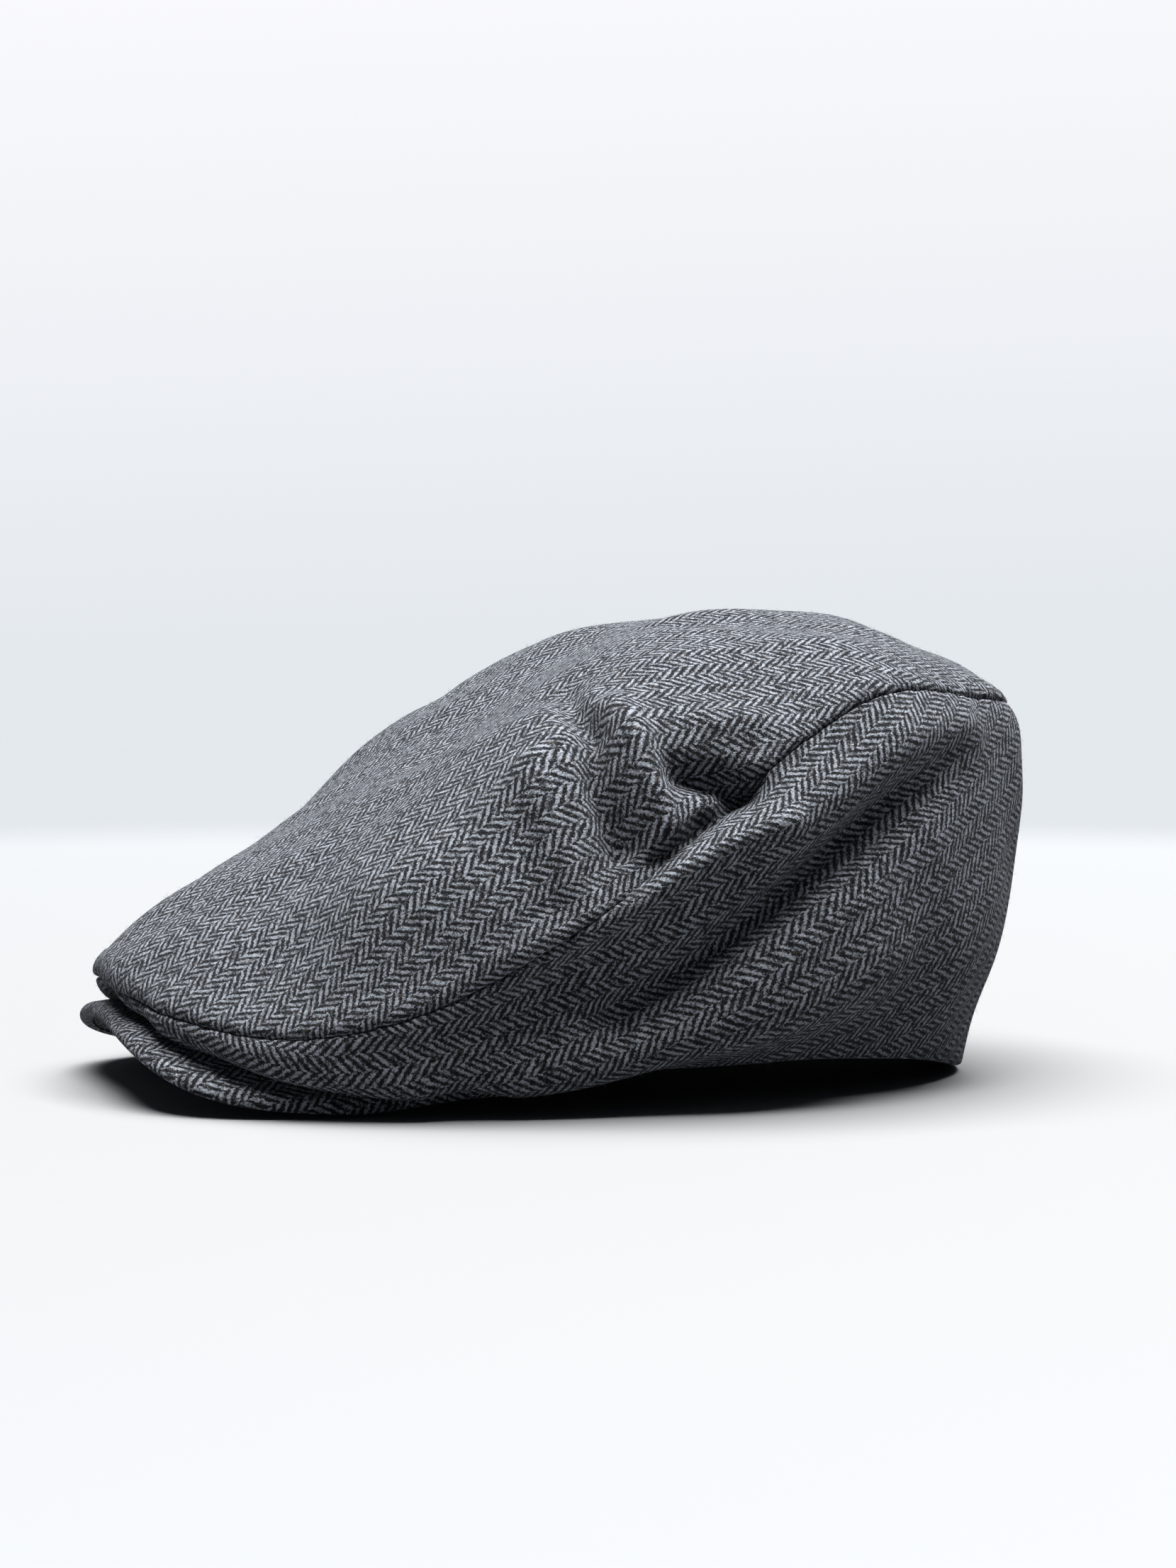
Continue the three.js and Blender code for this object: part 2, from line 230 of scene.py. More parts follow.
def tweed():
    wool = Finish("herringbone tweed")
    flat = wool.cut_place()
    drawn = wool.shift(flat, 1.6, 0.05)
    drawn = wool.shift(drawn, 1.0, 0.6)
    drawn = wool.shift(drawn, 0.45, 2.4)
    across, along = wool.split(drawn)
    stripes = across / STRIPE
    stripe = stripes.floor()
    within = stripes - stripe
    turned = (stripe * 0.5).part() * 2
    yarns = within * YARNS
    yarn = yarns.floor()
    place_in_yarn = yarns - yarn
    stepped = (yarn + 0.5) / YARNS
    slant = within * 0.55 + stepped * 0.45
    slant = slant + turned * (1 - slant * 2)
    ribs = (along + slant * STRIPE) / RIB + turned * 0.5
    fibres = wool.noise(flat, 2.6, 3.0, 0.65)
    float_side = abs(ribs.part() - 0.5) * 2 + (fibres - 0.5) * 0.85
    floats = float_side.step(0.28, 0.72)
    round_yarn = 1 - abs(place_in_yarn - 0.5) * 2
    lumps = wool.noise(drawn, 0.9, 2.0, 0.6)
    clumps = wool.noise(flat, 0.33, 2.0, 0.6).step(0.32, 0.68)
    fuzz = wool.noise(flat, 1.25, 4.0, 0.8).step(0.36, 0.64)
    hairs = (1 - abs(wool.noise(flat, 0.75, 1.5) - 0.5) * 11).step(0.45, 0.95)
    shade = wool.noise(flat, 0.035, 2.0)
    share = floats * (0.22 + lumps.step(0.30, 0.66) * 0.60 + clumps * 0.26) + (fibres - 0.45) * 0.60
    share = share * (0.42 + fuzz * 0.80) * (0.74 + clumps * 0.46) + (fuzz - 0.5) * 0.26 + hairs * clumps * 0.3
    share = share * (0.84 + shade * 0.3)
    # Painted shade: each yarn is a little lighter along its middle and darker at its edges, where the grooves
    # between yarns are shaded.
    share = share + (round_yarn - 0.5) * 0.08
    colour = wool.mix(share.step(0.02, 0.94), DARK_YARN, LIGHT_YARN)
    flecks = wool.noise(flat, 0.55, 2.0, 0.7)
    colour = wool.mix(flecks.step(0.60, 0.72) * 0.38, colour, BROWN_FLECK)
    height = floats * 0.5 + round_yarn * 0.2 + fibres * 0.8 + lumps * 0.5 + hairs * 0.35
    return wool.surface(
        Base_Color=colour,
        Roughness=0.92,
        Normal=wool.bump(height, WEAVE_DEPTH),
        Specular_IOR_Level=0.10,
        Sheen_Weight=0.03,
        Sheen_Roughness=0.45,
        Sheen_Tint=(0.80, 0.86, 0.96, 1),
    )


wool_tweed = tweed()
print("tweed:", len(wool_tweed.node_tree.nodes), "nodes")

# %% [markdown]
# ## The finishes inside
#
# Satin is all long floats, so it shines along one way and has fine lines. Ribbon has ribs across
# its length. Canvas is a plain over and under. Each is the same short sum: a repeat along U, a
# repeat along V, and a little noise.

# %% Satin, ribbon, canvas, label, board, metal, thread
def woven(name, colour, groove_shade, rib_u, rib_v, depth, rough, sheen=0.1):
    """A small-scaled cloth with rib_u and rib_v millimetres from rib to rib. 0 leaves the ribs out."""
    cloth = Finish(name)
    flat = cloth.cut_place()
    drawn = cloth.shift(flat, 0.10, 1.2)
    across, along = cloth.split(drawn)
    height = cloth.noise(flat, 3.0, 2.0) * 0.3
    for place, rib in ((across, rib_u), (along, rib_v)):
        if rib:
            height = height + (1 - abs((place / rib).part() - 0.5) * 2)
    worn = cloth.noise(flat, 0.06, 3.0)
    # Painted shade: the colour darkens to the second, deeper colour in the grooves between the ribs,
    # following the bump, and the worn noise adds a random tone on top.
    tone = cloth.mix((height * 0.5 + (worn - 0.5) * 0.6).step(0.1, 0.9), groove_shade, colour)
    return cloth.surface(
        Base_Color=tone,
        Roughness=(worn - 0.5) * 0.15 + rough,
        Normal=cloth.bump(height, depth),
        Specular_IOR_Level=0.35,
        Sheen_Weight=sheen,
    )


# Each cloth's second colour is the painted shade that its grooves take.
satin = woven("black satin", (0.030, 0.031, 0.037, 1), (0.012, 0.012, 0.015, 1), 0, 0.35, 0.00003, 0.36)
ribbon = woven("ribbed ribbon", (0.035, 0.035, 0.040, 1), (0.010, 0.010, 0.012, 1), 0.9, 0, 0.00012, 0.62)
canvas = woven("cotton canvas", (0.62, 0.59, 0.52, 1), (0.40, 0.37, 0.31, 1), 0.8, 0.8, 0.00010, 0.85)
label_weave = woven("label satin", (0.80, 0.78, 0.72, 1), (0.64, 0.62, 0.56, 1), 0, 0.3, 0.00003, 0.5)
thread = woven("black thread", (0.035, 0.035, 0.040, 1), (0.012, 0.012, 0.014, 1), 0.4, 0, 0.00005, 0.6)


def moulded():
    """Sheet plastic with a fine pebbled face."""
    sheet = Finish("brim board")
    place = sheet.node("TexCoord", output=3)
    grain = sheet.noise(place, 1400, 3.0)
    scuffs = sheet.noise(place, 60, 4.0)
    tone = sheet.mix(scuffs.step(0.4, 0.7), (0.045, 0.045, 0.048, 1), (0.0315, 0.0315, 0.0336, 1))
    return sheet.surface(Base_Color=tone, Roughness=scuffs * 0.2 + 0.5, Normal=sheet.bump(grain, 0.00004))


def plated():
    """Nickel plate with fine turning marks."""
    metal = Finish("nickel plate")
    place = metal.node("TexCoord", output=3)
    marks = metal.noise(place, 2500, 2.0)
    stains = metal.noise(place, 300, 3.0)
    return metal.surface(
        Base_Color=metal.mix(stains.step(0.35, 0.75), (0.56, 0.57, 0.59, 1), (0.42, 0.4275, 0.4425, 1)),
        Metallic=1.0,
        Roughness=stains * 0.25 + 0.2,
        Normal=metal.bump(marks, 0.000015),
    )


board_plastic = moulded()
snap_plate = plated()
print("finishes:", sorted(m.name for m in bpy.data.materials))

# %% [markdown]
# ## The hat block
#
# Hats are pressed on a wooden block, and here the block is a formula: six rings from the top to
# the hem, each with its reach from an upright axis and its height every 30 degrees from front to
# back. A cosine series joins the values round a ring, and a smooth curve joins the rings. The
# rings are the ones that the frame was made on, so the cloth lies where the frame says.

# %% Rings and the smooth surface through them
AXIS_Y = 20.5
BLOCK_TOP = 127.0
RINGS = {
    "inner": ((52, 51, 47, 44, 44, 47, 52), (98, 106, 119, 125, 128, 129.5, 131.5)),
    "upper": ((125, 117, 99, 81, 78, 77, 82), (56, 60, 93, 109, 122.5, 124, 122.5)),
    "seam": ((152, 146.5, 118, 98, 95, 103, 110), (36, 23.5, 41, 83, 111.5, 109, 105)),
    "bulge": ((151, 147.5, 114, 103, 104, 108.5, 112.5), (30.5, 18, 32, 60, 81, 85, 85)),
    "lower": ((147, 142, 109, 101, 101, 106, 104), (27, 15, 10, 26, 38.5, 44, 41)),
    "hem": ((99, 96, 88.5, 83, 85, 91.5, 96), (34, 26, 13, 11, 10.5, 5.5, 0)),
}
SEAM = 3
HEM = 6
FRONT = -math.pi / 2
BACK = math.pi / 2
TURN = 2 * math.pi


def around(values, phi):
    """Smooth even curve through values at equal angles from the front to the back."""
    last = len(values) - 1
    ends = np.array([0.5] + [1.0] * (last - 1) + [0.5])
    waves = np.arange(last + 1)
    table = np.cos(np.outer(waves, waves) * math.pi / last)
    weights = 2 / last * ends * (table @ (ends * np.array(values, float)))
    return np.cos(np.outer(np.ravel(phi) - FRONT, waves)) @ weights


def ring_levels(phi):
    rings = [np.array([around(reach, phi), around(height, phi)]) for reach, height in RINGS.values()]
    reach, height = RINGS["inner"]
    across = np.array([-around(reach, phi + math.pi), around(height, phi + math.pi)])
    top = np.array([np.zeros_like(phi), np.full_like(phi, BLOCK_TOP)])
    return np.array([across, top, *rings, 2 * rings[5] - rings[4]])


def block(phi, t):
    """Points of the block's surface in millimetres, t from 0 at the top to 6 at the hem."""
    phi, t = np.broadcast_arrays(np.asarray(phi, float), np.asarray(t, float))
    shape = phi.shape
    phi, t = phi.ravel(), t.ravel()
    level = np.clip(np.floor(t).astype(int), 0, HEM - 1)
    part = t - level
    rings = ring_levels(phi)
    each = np.arange(len(phi))
    a, b, c, d = (rings[level + k, :, each].T for k in range(4))
    before, span, after = (np.hypot(*(q - p)) ** 0.5 for p, q in ((a, b), (b, c), (c, d)))
    leave = ((b - a) / before - (c - a) / (before + span) + (c - b) / span) * span
    arrive = ((c - b) / span - (d - b) / (span + after) + (d - c) / after) * span
    rest = 3 * (c - b) - 2 * leave - arrive
    reach, height = b + leave * part + rest * part**2 + (leave + arrive - 2 * (c - b)) * part**3
    points = np.array([reach * np.cos(phi), AXIS_Y + reach * np.sin(phi), height])
    return points.T.reshape(*shape, 3)


nose_y = block(FRONT, SEAM)[1]
print("nose at", nose_y.round(1), "mm, top at", block(0.0, 0.0)[2].round(1), "mm")

# %% [markdown]
# ## Folds
#
# An empty cap slumps. Its side puffs out under the seam and sinks below that in one long diagonal
# crease, and the top sinks in two short dents where the side pushes on it. Each fold is a line on
# the block, given by angle and ring, with how far the cloth moves there in millimetres, out or in.
# The move fades with distance from the line, as a bell curve. On top of the folds comes a gentle
# unevenness, a sum of long waves.

# %% Fold lines
LEFT, RIGHT, BOTH = (1,), (-1,), (1, -1)
FOLDS = (
    # sides, width, ((degrees round from the front = -90, ring, move), ...)
    (LEFT, 4.4, (
        (-35, 1.15, -1.5), (-28, 1.50, -5.5), (-22, 1.85, -8.5), (-20, 2.25, -9.5), (-16, 2.7, -9.0),
    )),
    (LEFT, 4.4, ((-9, 2.25, -1.0), (-7, 2.45, -6.0), (-2, 2.62, -9.0), (2, 2.85, -9.5), (4, 3.0, -7.0))),
    (LEFT, 5.0, ((-18, 1.70, 2.0), (-14, 2.1, 5.0), (-11, 2.5, 6.0), (-9, 2.8, 5.0))),
    (LEFT, 6.0, ((0, 2.15, 2.5), (8, 2.4, 3.5), (12, 2.7, 2.0))),
    (LEFT, 6.0, ((-31, 1.9, 1.5), (-27, 2.3, 3.0), (-23, 2.7, 3.5))),
    (LEFT, 5.5, ((-30, 2.9, 1.5), (-20, 3.05, 5.0), (-11, 3.22, 8.5), (0, 3.45, 8.0), (9, 3.62, 5.0))),
    (LEFT, 3.0, ((-19, 2.98, -1.0), (-14, 2.97, -5.5), (-6, 2.97, -7.0), (1, 2.97, -7.0), (6, 2.98, -3.0))),
    (LEFT, 8.5, ((9, 3.6, 3.5), (20, 3.6, 3.5), (33, 3.5, 3.5), (50, 3.35, 2.5))),
    (LEFT, 7.0, (
        (46, 3.75, -3), (34, 3.92, -10), (20, 4.12, -14), (8, 4.27, -14), (-4, 4.42, -12), (-16, 4.55, -8),
    )),
    (LEFT, 10.0, ((30, 4.95, 2.0), (15, 5.15, 3.5), (0, 5.2, 4.0), (-15, 5.2, 3.5), (-30, 5.1, 3.0))),
    (BOTH, 6.0, ((-84, 4.75, 0.5), (-72, 4.75, 2.6), (-55, 4.8, 3.0), (-42, 4.9, 2.5))),
    (BOTH, 7.0, ((70, 3.25, 1.0), (88, 3.25, 1.2))),
    (RIGHT, 7.0, ((-34, 1.5, -1.0), (-27, 1.9, -4.5), (-21, 2.3, -5.5), (-18, 2.6, -3.0))),
    (RIGHT, 7.5, ((-14, 2.95, 1.0), (-4, 3.2, 4.5), (8, 3.5, 5.0), (24, 3.6, 3.0), (40, 3.5, 1.5))),
    (RIGHT, 9.0, ((50, 3.8, -3.0), (36, 4.0, -7.0), (22, 4.15, -9.0), (6, 4.35, -8.0), (-10, 4.5, -4.0))),
    (RIGHT, 10.0, ((40, 4.9, 1.5), (20, 5.1, 3.0), (0, 5.1, 3.0), (-25, 5.1, 2.5))),
)
WAVES = 14
rng = np.random.default_rng(7)
wave_ways = rng.normal(size=(WAVES, 3))
wave_ways /= np.linalg.norm(wave_ways, axis=1, keepdims=True)
wave_ways *= 2 * math.pi / rng.uniform(26, 62, size=(WAVES, 1))
wave_starts = rng.uniform(0, 2 * math.pi, size=WAVES)
UNEVENNESS = 0.28


def fold_points():
    placed = []
    for sides, width, line in FOLDS:
        degrees, rings, moves = np.array(line, float).T
        for side in sides:
            placed.append((width, block(np.radians(degrees), rings) * (side, 1, 1), moves))
    return placed


placed_folds = fold_points()


def move_out(points):
    """How far the cloth stands off the block at these points, in millimetres."""
    flat = points.reshape(-1, 3)
    total = UNEVENNESS * np.sin(flat @ wave_ways.T + wave_starts).sum(axis=1)
    total *= np.clip(flat[:, 2] / 30, 0, 1)
    for width, line, moves in placed_folds:
        near = np.full(len(flat), 1e9)
        move = np.zeros(len(flat))
        for start, end, first, last in zip(line, line[1:], moves, moves[1:]):
            way = end - start
            share = np.clip((flat - start) @ way / (way @ way), 0, 1)
            gap = np.linalg.norm(flat - start - share[:, None] * way, axis=1)
            closer = gap < near
            near = np.where(closer, gap, near)
            move = np.where(closer, first + share * (last - first), move)
        total += move * np.exp(-((near / width) ** 2))
    return total.reshape(points.shape[:-1])


def face_normals(points):
    """Outward normals of a grid that is closed round the head."""
    round_it = np.roll(points, -1, axis=0) - np.roll(points, 1, axis=0)
    normal = np.cross(np.gradient(points, axis=1), round_it)
    return normal / np.linalg.norm(normal, axis=-1, keepdims=True)


TABLE_TURNS = 960
TABLE_RINGS = np.linspace(0.03, 6.12, 640)
table_phi = np.linspace(0, TURN, TABLE_TURNS, endpoint=False)
bare = block(table_phi[:, None], TABLE_RINGS)
bare_normals = face_normals(bare)
outer_move = move_out(bare)


def shifted(grid, turns, rings):
    """The grid moved some cells round the head and some cells down it."""
    grid = np.roll(grid, turns, axis=0)
    rows = np.clip(np.arange(grid.shape[1]) - rings, 0, grid.shape[1] - 1)
    return grid[:, rows]


def slackened(move, turns, rings):
    """The deepest move found near each place, then smoothed, so that a layer below stays below."""
    for way in ((turns, 0), (0, rings)):
        near = [shifted(move, way[0] * k // 6, way[1] * k // 6) for k in range(-6, 7)]
        move = np.min(near, axis=0)
    for way in ((turns, 0), (0, rings)):
        near = [shifted(move, way[0] * k // 12, way[1] * k // 12) for k in range(-6, 7)]
        move = np.mean(near, axis=0)
    return move


def drape_table(move):
    draped = bare + bare_normals * move[..., None]
    return np.concatenate([draped, face_normals(draped)], axis=-1)


outer_table = drape_table(outer_move)
inner_table = drape_table(slackened(outer_move, 6, 12) - 0.2)


def cloth(phi, t, depth, draped_table=outer_table):
    """Points at a depth under the outer face of the draped cap, in millimetres."""
    phi, t, depth = np.broadcast_arrays(phi, t, depth)
    turn = (phi / TURN * TABLE_TURNS) % TABLE_TURNS
    down = (t - TABLE_RINGS[0]) / (TABLE_RINGS[1] - TABLE_RINGS[0])
    i, j = np.floor(turn).astype(int), np.clip(np.floor(down).astype(int), 0, len(TABLE_RINGS) - 2)
    a, b = (turn - i)[..., None], (down - j)[..., None]
    i, after = i % TABLE_TURNS, (i + 1) % TABLE_TURNS
    upper = draped_table[i, j] * (1 - a) + draped_table[after, j] * a
    lower = draped_table[i, j + 1] * (1 - a) + draped_table[after, j + 1] * a
    found = upper * (1 - b) + lower * b
    return found[..., :3] - found[..., 3:] * depth[..., None]


print("folds:", len(FOLDS), "lines; most in", min(m for f in FOLDS for *_, m in f[2]), "mm")

# %% [markdown]
# ## Cloth as a mesh
#
# A sewn panel is one closed skin: its outer face, round its edge, and back along its inner face.
# So each piece is a grid, with columns round the head and rows along the cloth's section, whose
# last row joins its first. Meshing the section itself gives soft turned edges, where Solidify
# would leave a square rim.

# %% Grid to mesh
def grid_faces(columns, rows, ring, closed):
    """The column and row that each face starts from, and its four corners' point numbers."""
    i = np.arange(columns if ring else columns - 1)
    j = np.arange(rows if closed else rows - 1)
    i, j = (a.ravel() for a in np.meshgrid(i, j, indexing="ij"))
    after_i, after_j = (i + 1) % columns * rows, (j + 1) % rows
    return i, j, np.stack([i * rows + j, after_i + j, after_i + after_j, i * rows + after_j], 1)


def add_object(name, data):
    made = bpy.data.objects.new(name, data)
    bpy.context.scene.collection.objects.link(made)
    return made


def sewn_piece(name, points, cut, finish, ring=False, poles=False):
    """points[i, j] in millimetres, columns then rows. cut holds the flat place of each, in metres, and
    has one more column when the piece is a closed ring. poles closes the first and last rows."""
    columns, rows = points.shape[:2]
    i, j, quads = grid_faces(columns, rows, ring, not poles)
    after_j = (j + 1) % rows
    flat = np.stack([cut[i, j], cut[i + 1, j], cut[i + 1, after_j], cut[i, after_j]], 1)
    faces = quads.tolist()
    uvs = [flat.reshape(-1, 2)]
    vertices = points.reshape(-1, 3)
    if poles:
        for row, order in ((0, -1), (rows - 1, 1)):
            middle = points[:, row].mean(axis=0)
            vertices = np.vstack([vertices, middle])
            for k in range(columns):
                edge = [k * rows + row, (k + 1) % columns * rows + row][::order]
                faces.append([*edge, len(vertices) - 1])
                uvs.append(np.array([*[cut[k, row], cut[k + 1, row]][::order], cut[:-1, row].mean(axis=0)]))
    elif not ring:
        for column, order in ((0, 1), (columns - 1, -1)):
            for k in range(rows // 2 - 1):
                four = [k, k + 1, rows - 2 - k, rows - 1 - k][::order]
                faces.append([column * rows + b for b in four])
                uvs.append(cut[column, four])
    mesh = bpy.data.meshes.new(name)
    mesh.from_pydata((vertices * MM).tolist(), [], faces)
    mesh.uv_layers.new(name="cut").data.foreach_set("uv", np.concatenate(uvs).ravel())
    mesh.polygons.foreach_set("use_smooth", [True] * len(faces))
    mesh.materials.append(finish)
    a, b, c, d = (vertices[quads[:, k]] for k in range(4))
    volume = (a * (np.cross(b, c) + np.cross(c, d))).sum()
    if volume < 0:
        mesh.flip_normals()
    mesh.validate()
    return add_object(name, mesh)


def small_shapes(name, vertices, faces, finish):
    """Many small closed shapes in one piece, from points in millimetres, with normals turned out."""
    mesh = bpy.data.meshes.new(name)
    mesh.from_pydata((np.array(vertices) * MM).tolist(), [], faces)
    mesh.uv_layers.new(name="cut")
    mesh.materials.append(finish)
    piece = add_object(name, mesh)
    bpy.ops.object.select_all(action="DESELECT")
    bpy.context.view_layer.objects.active = piece
    piece.select_set(True)
    bpy.ops.object.mode_set(mode="EDIT")
    bpy.ops.mesh.select_all(action="SELECT")
    bpy.ops.mesh.normals_make_consistent(inside=False)
    bpy.ops.object.mode_set(mode="OBJECT")
    bpy.ops.object.shade_smooth()
    piece.select_set(False)
    return piece


def settle(piece, body, slot, *nodes):
    """Ties a finished piece to its body and hides the nodes that it stands for. Its slot is not used."""
    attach(piece, body)
    if nodes:
        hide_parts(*nodes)
    print(piece.name, "-", len(piece.data.polygons), "faces")


print("mesh makers ready")

# %% [markdown]
# ## Flat cuts
#
# The weave has to run as it does on cloth cut from a flat bolt. Unwrapping a panel with little
# stretch finds that flat cut, the reverse of what a pattern cutter does. It is then turned, so
# that the warp runs the way that the cutter laid it, and scaled to its real size.

# %% Flatten a face of cloth
def flat_cut(points, grain, at, ring=False):
    """The flat place of each grid point, in metres. grain is the warp's way on the cap, and at is a
    weight for each point that says where it has to run so."""
    columns, rows = points.shape[:2]
    mesh = bpy.data.meshes.new("paper")
    faces = grid_faces(columns, rows, ring, False)[2].tolist()
    if ring:
        faces.append([k * rows for k in range(columns)][::-1])
    mesh.from_pydata((points.reshape(-1, 3) * MM).tolist(), [], faces)
    mesh.uv_layers.new(name="cut")
    paper = add_object("paper", mesh)
    bpy.context.view_layer.objects.active = paper
    paper.select_set(True)
    bpy.ops.object.mode_set(mode="EDIT")
    bpy.ops.mesh.select_all(action="SELECT")
    bpy.ops.uv.unwrap(method="ANGLE_BASED", margin=0)
    bpy.ops.object.mode_set(mode="OBJECT")
    loops = np.zeros(len(mesh.loops) * 2)
    mesh.uv_layers["cut"].data.foreach_get("uv", loops)
    owners = np.zeros(len(mesh.loops), int)
    mesh.loops.foreach_get("vertex_index", owners)
    flat = np.zeros((columns * rows, 2))
    flat[owners] = loops.reshape(-1, 2)
    bpy.data.objects.remove(paper)
    bpy.data.meshes.remove(mesh)
    flat = flat.reshape(columns, rows, 2)
    return turned_to_grain(flat, points * MM, grain, at)


def turned_to_grain(flat, points, grain, at):
    """The flat cut turned so that the warp runs along V, and scaled to the area of the real cloth."""
    d_round, d_down = np.gradient(points, axis=0), np.gradient(points, axis=1)
    f_round, f_down = np.gradient(flat, axis=0), np.gradient(flat, axis=1)
    dot = lambda a, b: (a * b).sum(axis=-1)
    g11, g12, g22 = dot(d_round, d_round), dot(d_round, d_down), dot(d_down, d_down)
    warp = np.asarray(grain, float)
    r1, r2 = dot(d_round, warp), dot(d_down, warp)
    spread = np.maximum(g11 * g22 - g12**2, 1e-18)
    a, b = (r1 * g22 - r2 * g12) / spread, (r2 * g11 - r1 * g12) / spread
    ways = a[..., None] * f_round + b[..., None] * f_down
    area = np.linalg.norm(np.cross(d_round, d_down), axis=-1)
    flat_area = np.abs(f_round[..., 0] * f_down[..., 1] - f_round[..., 1] * f_down[..., 0])
    inner = (slice(1, -1), slice(1, -1))
    scale = math.sqrt(area[inner].sum() / flat_area[inner].sum())
    weight = (area * at)[inner][..., None]
    mean = (ways[inner] * weight).sum(axis=(0, 1))
    turn = math.pi / 2 - math.atan2(mean[1], mean[0])
    c, s = math.cos(turn), math.sin(turn)
    return (flat - flat.reshape(-1, 2).mean(axis=0)) @ np.array([[c, s], [-s, c]]) * scale


def sheet_facts(piece, cut):
    """Says what a piece was cut to, from the flat place of its outer face."""
    across, along = np.diff(cut, axis=0)[:, :-1], np.diff(cut, axis=1)[:-1]
    area = np.abs(across[..., 0] * along[..., 1] - across[..., 1] * along[..., 0]).sum()
    width, length = np.ptp(cut[..., 0]), np.ptp(cut[..., 1])
    print(piece.name, "cut", round(width * 1000), "x", round(length * 1000), "mm,", round(area * 1e4), "cm2")


print("flat cuts ready")

# %% [markdown]
# ## Rows along the cloth
#
# A row is a ring number plus a distance in millimetres, because an edge's roundness is a matter
# of millimetres wherever it is on the cap. A seam is two edges that turn in and meet in a groove,
# and the seam allowances pressed under the top panel lift it a little next to the groove.

# %% Rows, lips and columns
LIP = 1.5                # radius of a turned edge at a seam
SEAM_WELT = 0.75         # lift of the top panel beside its seam
SIDE_WELT = 0.25         # lift of a side panel there
WOOL = 1.8               # thickness of the tweed
USUAL_REACH = 105.0      # of the seam from the block's axis, to turn millimetres into angles
FAR = 99.0               # any distance at which a seam has no effect
near_seam = np.array([0.04, 0.25, 0.55, 0.95, 1.5, 2.2, 3.0, 4.0, 5.2, 6.6, 8.2])


def ring_size(phi, t):
    """Millimetres of cloth in one step of t."""
    h = 0.02
    return np.linalg.norm(block(phi, t + h) - block(phi, t - h), axis=-1) / (2 * h)


NOSE_DROP = 1.05         # rings that the seam sinks at the nose, where the top wraps over it
NOSE_WIDTH = 0.34        # angle over which it does so


def seam_t(phi):
    """The ring number of the seam between top and side."""
    from_front = (np.asarray(phi) - FRONT + math.pi) % TURN - math.pi
    return SEAM + NOSE_DROP * np.exp(-((from_front / NOSE_WIDTH) ** 2))


def whole_turn(columns):
    return np.linspace(0, TURN, columns, endpoint=False) + FRONT


def closed_ring(cut):
    """The cut with its first column again after its last."""
    return np.concatenate([cut, cut[:1]])


def walk(phi, start, distances):
    """Ring numbers at distances in millimetres down the surface from start, a column per angle."""
    rings = np.linspace(0.5, 6.1, 500)
    lines = block(np.asarray(phi)[:, None], rings[None, :])
    steps = np.linalg.norm(np.diff(lines, axis=1), axis=2)
    along = np.concatenate([np.zeros((len(lines), 1)), np.cumsum(steps, axis=1)], axis=1)
    found = []
    for line, first in zip(along, start):
        found.append(np.interp(np.interp(first, rings, line) + distances, line, rings))
    return np.array(found)


def lip(distance, radius=LIP):
    """Depth of a rounded edge at a distance from its end."""
    short = np.clip(radius - distance, 0, radius)
    return radius - np.sqrt(radius**2 - short**2)


def welt(distance, lift):
    """Lift beside a seam, highest 3 mm away from it."""
    return -lift * (distance / 3) * np.exp(1 - distance / 3)


def puckers(phi, distance, seed):
    """Small waves that the stitches draw up beside a seam."""
    turn = np.asarray(phi) * 100
    wave = np.sin(turn * 0.62 + seed) + np.sin(turn * 0.97 + 2 * seed) + np.sin(turn * 1.7 + 3 * seed)
    return 0.18 * wave * np.exp(-np.asarray(distance) / 6)


def side_columns(count):
    """Angles from the front seam to the back seam, close together at both ends."""
    ends = near_seam / USUAL_REACH
    middle = np.linspace(FRONT + ends[-1], BACK - ends[-1], count)[1:-1]
    return np.concatenate([FRONT + ends, middle, BACK - ends[::-1]])


print("seam dips to ring", seam_t(FRONT), "at the nose")

# %% [markdown]
# ## The top panel
#
# One oval of tweed from the nose to the back. Its warp runs from front to back.


def top_panel(columns=440, rows=84):
    phi = whole_turn(columns)
    edge = walk(phi, seam_t(phi), -near_seam[::-1]).T
    main = np.linspace(0.05, 1, rows)[:, None] * edge[0]
    t = np.concatenate([main[:-1], edge]).T
    away = np.concatenate([np.full(rows - 1, FAR), near_seam[::-1]])
    depth = lip(away) + welt(away, SEAM_WELT) + puckers(phi[:, None], away, 1)
    outer = cloth(phi[:, None], t, depth)
    back_rows = np.linspace(0.05, 1, rows // 2)[::-1, None] * edge[-1]
    inner = cloth(phi[:, None], back_rows.T, np.full((columns, rows // 2), WOOL))
    cut = flat_cut(outer, (0, 1, 0), np.ones(outer.shape[:2]), ring=True)
    back = cut[:, np.linspace(cut.shape[1] - 1, 0, rows // 2).astype(int)]
    whole = closed_ring(np.concatenate([cut, back], axis=1))
    points = np.concatenate([outer, inner], axis=1)
    piece = sewn_piece("top_panel_cloth", points, whole, wool_tweed, True, True)
    sheet_facts(piece, closed_ring(cut))
    return piece


top = top_panel()
settle(top, "crown", "wool_tweed", "top_panel")

# %% [markdown]
# ## The side panels
#
# Each side runs from the nose to the back seam. Its lower edge is turned up inside as a hem, so
# its section goes down the outside, round the hem, a little way up, and back up the inside.

# %% Side panels
SIDES = ((1, "left"), (-1, "right"))
SIDE_GRAIN = math.radians(27)    # how far the sides' warp rises towards the back
HEM_ALLOWANCE = 10.0
HEM_TURN = [(WOOL - WOOL * math.sin(a), WOOL - WOOL * math.cos(a)) for a in np.linspace(0, math.pi, 11)]


def side_phi(phi, side):
    """The angle on the block, for folds that differ from side to side."""
    return phi if side > 0 else math.pi - phi


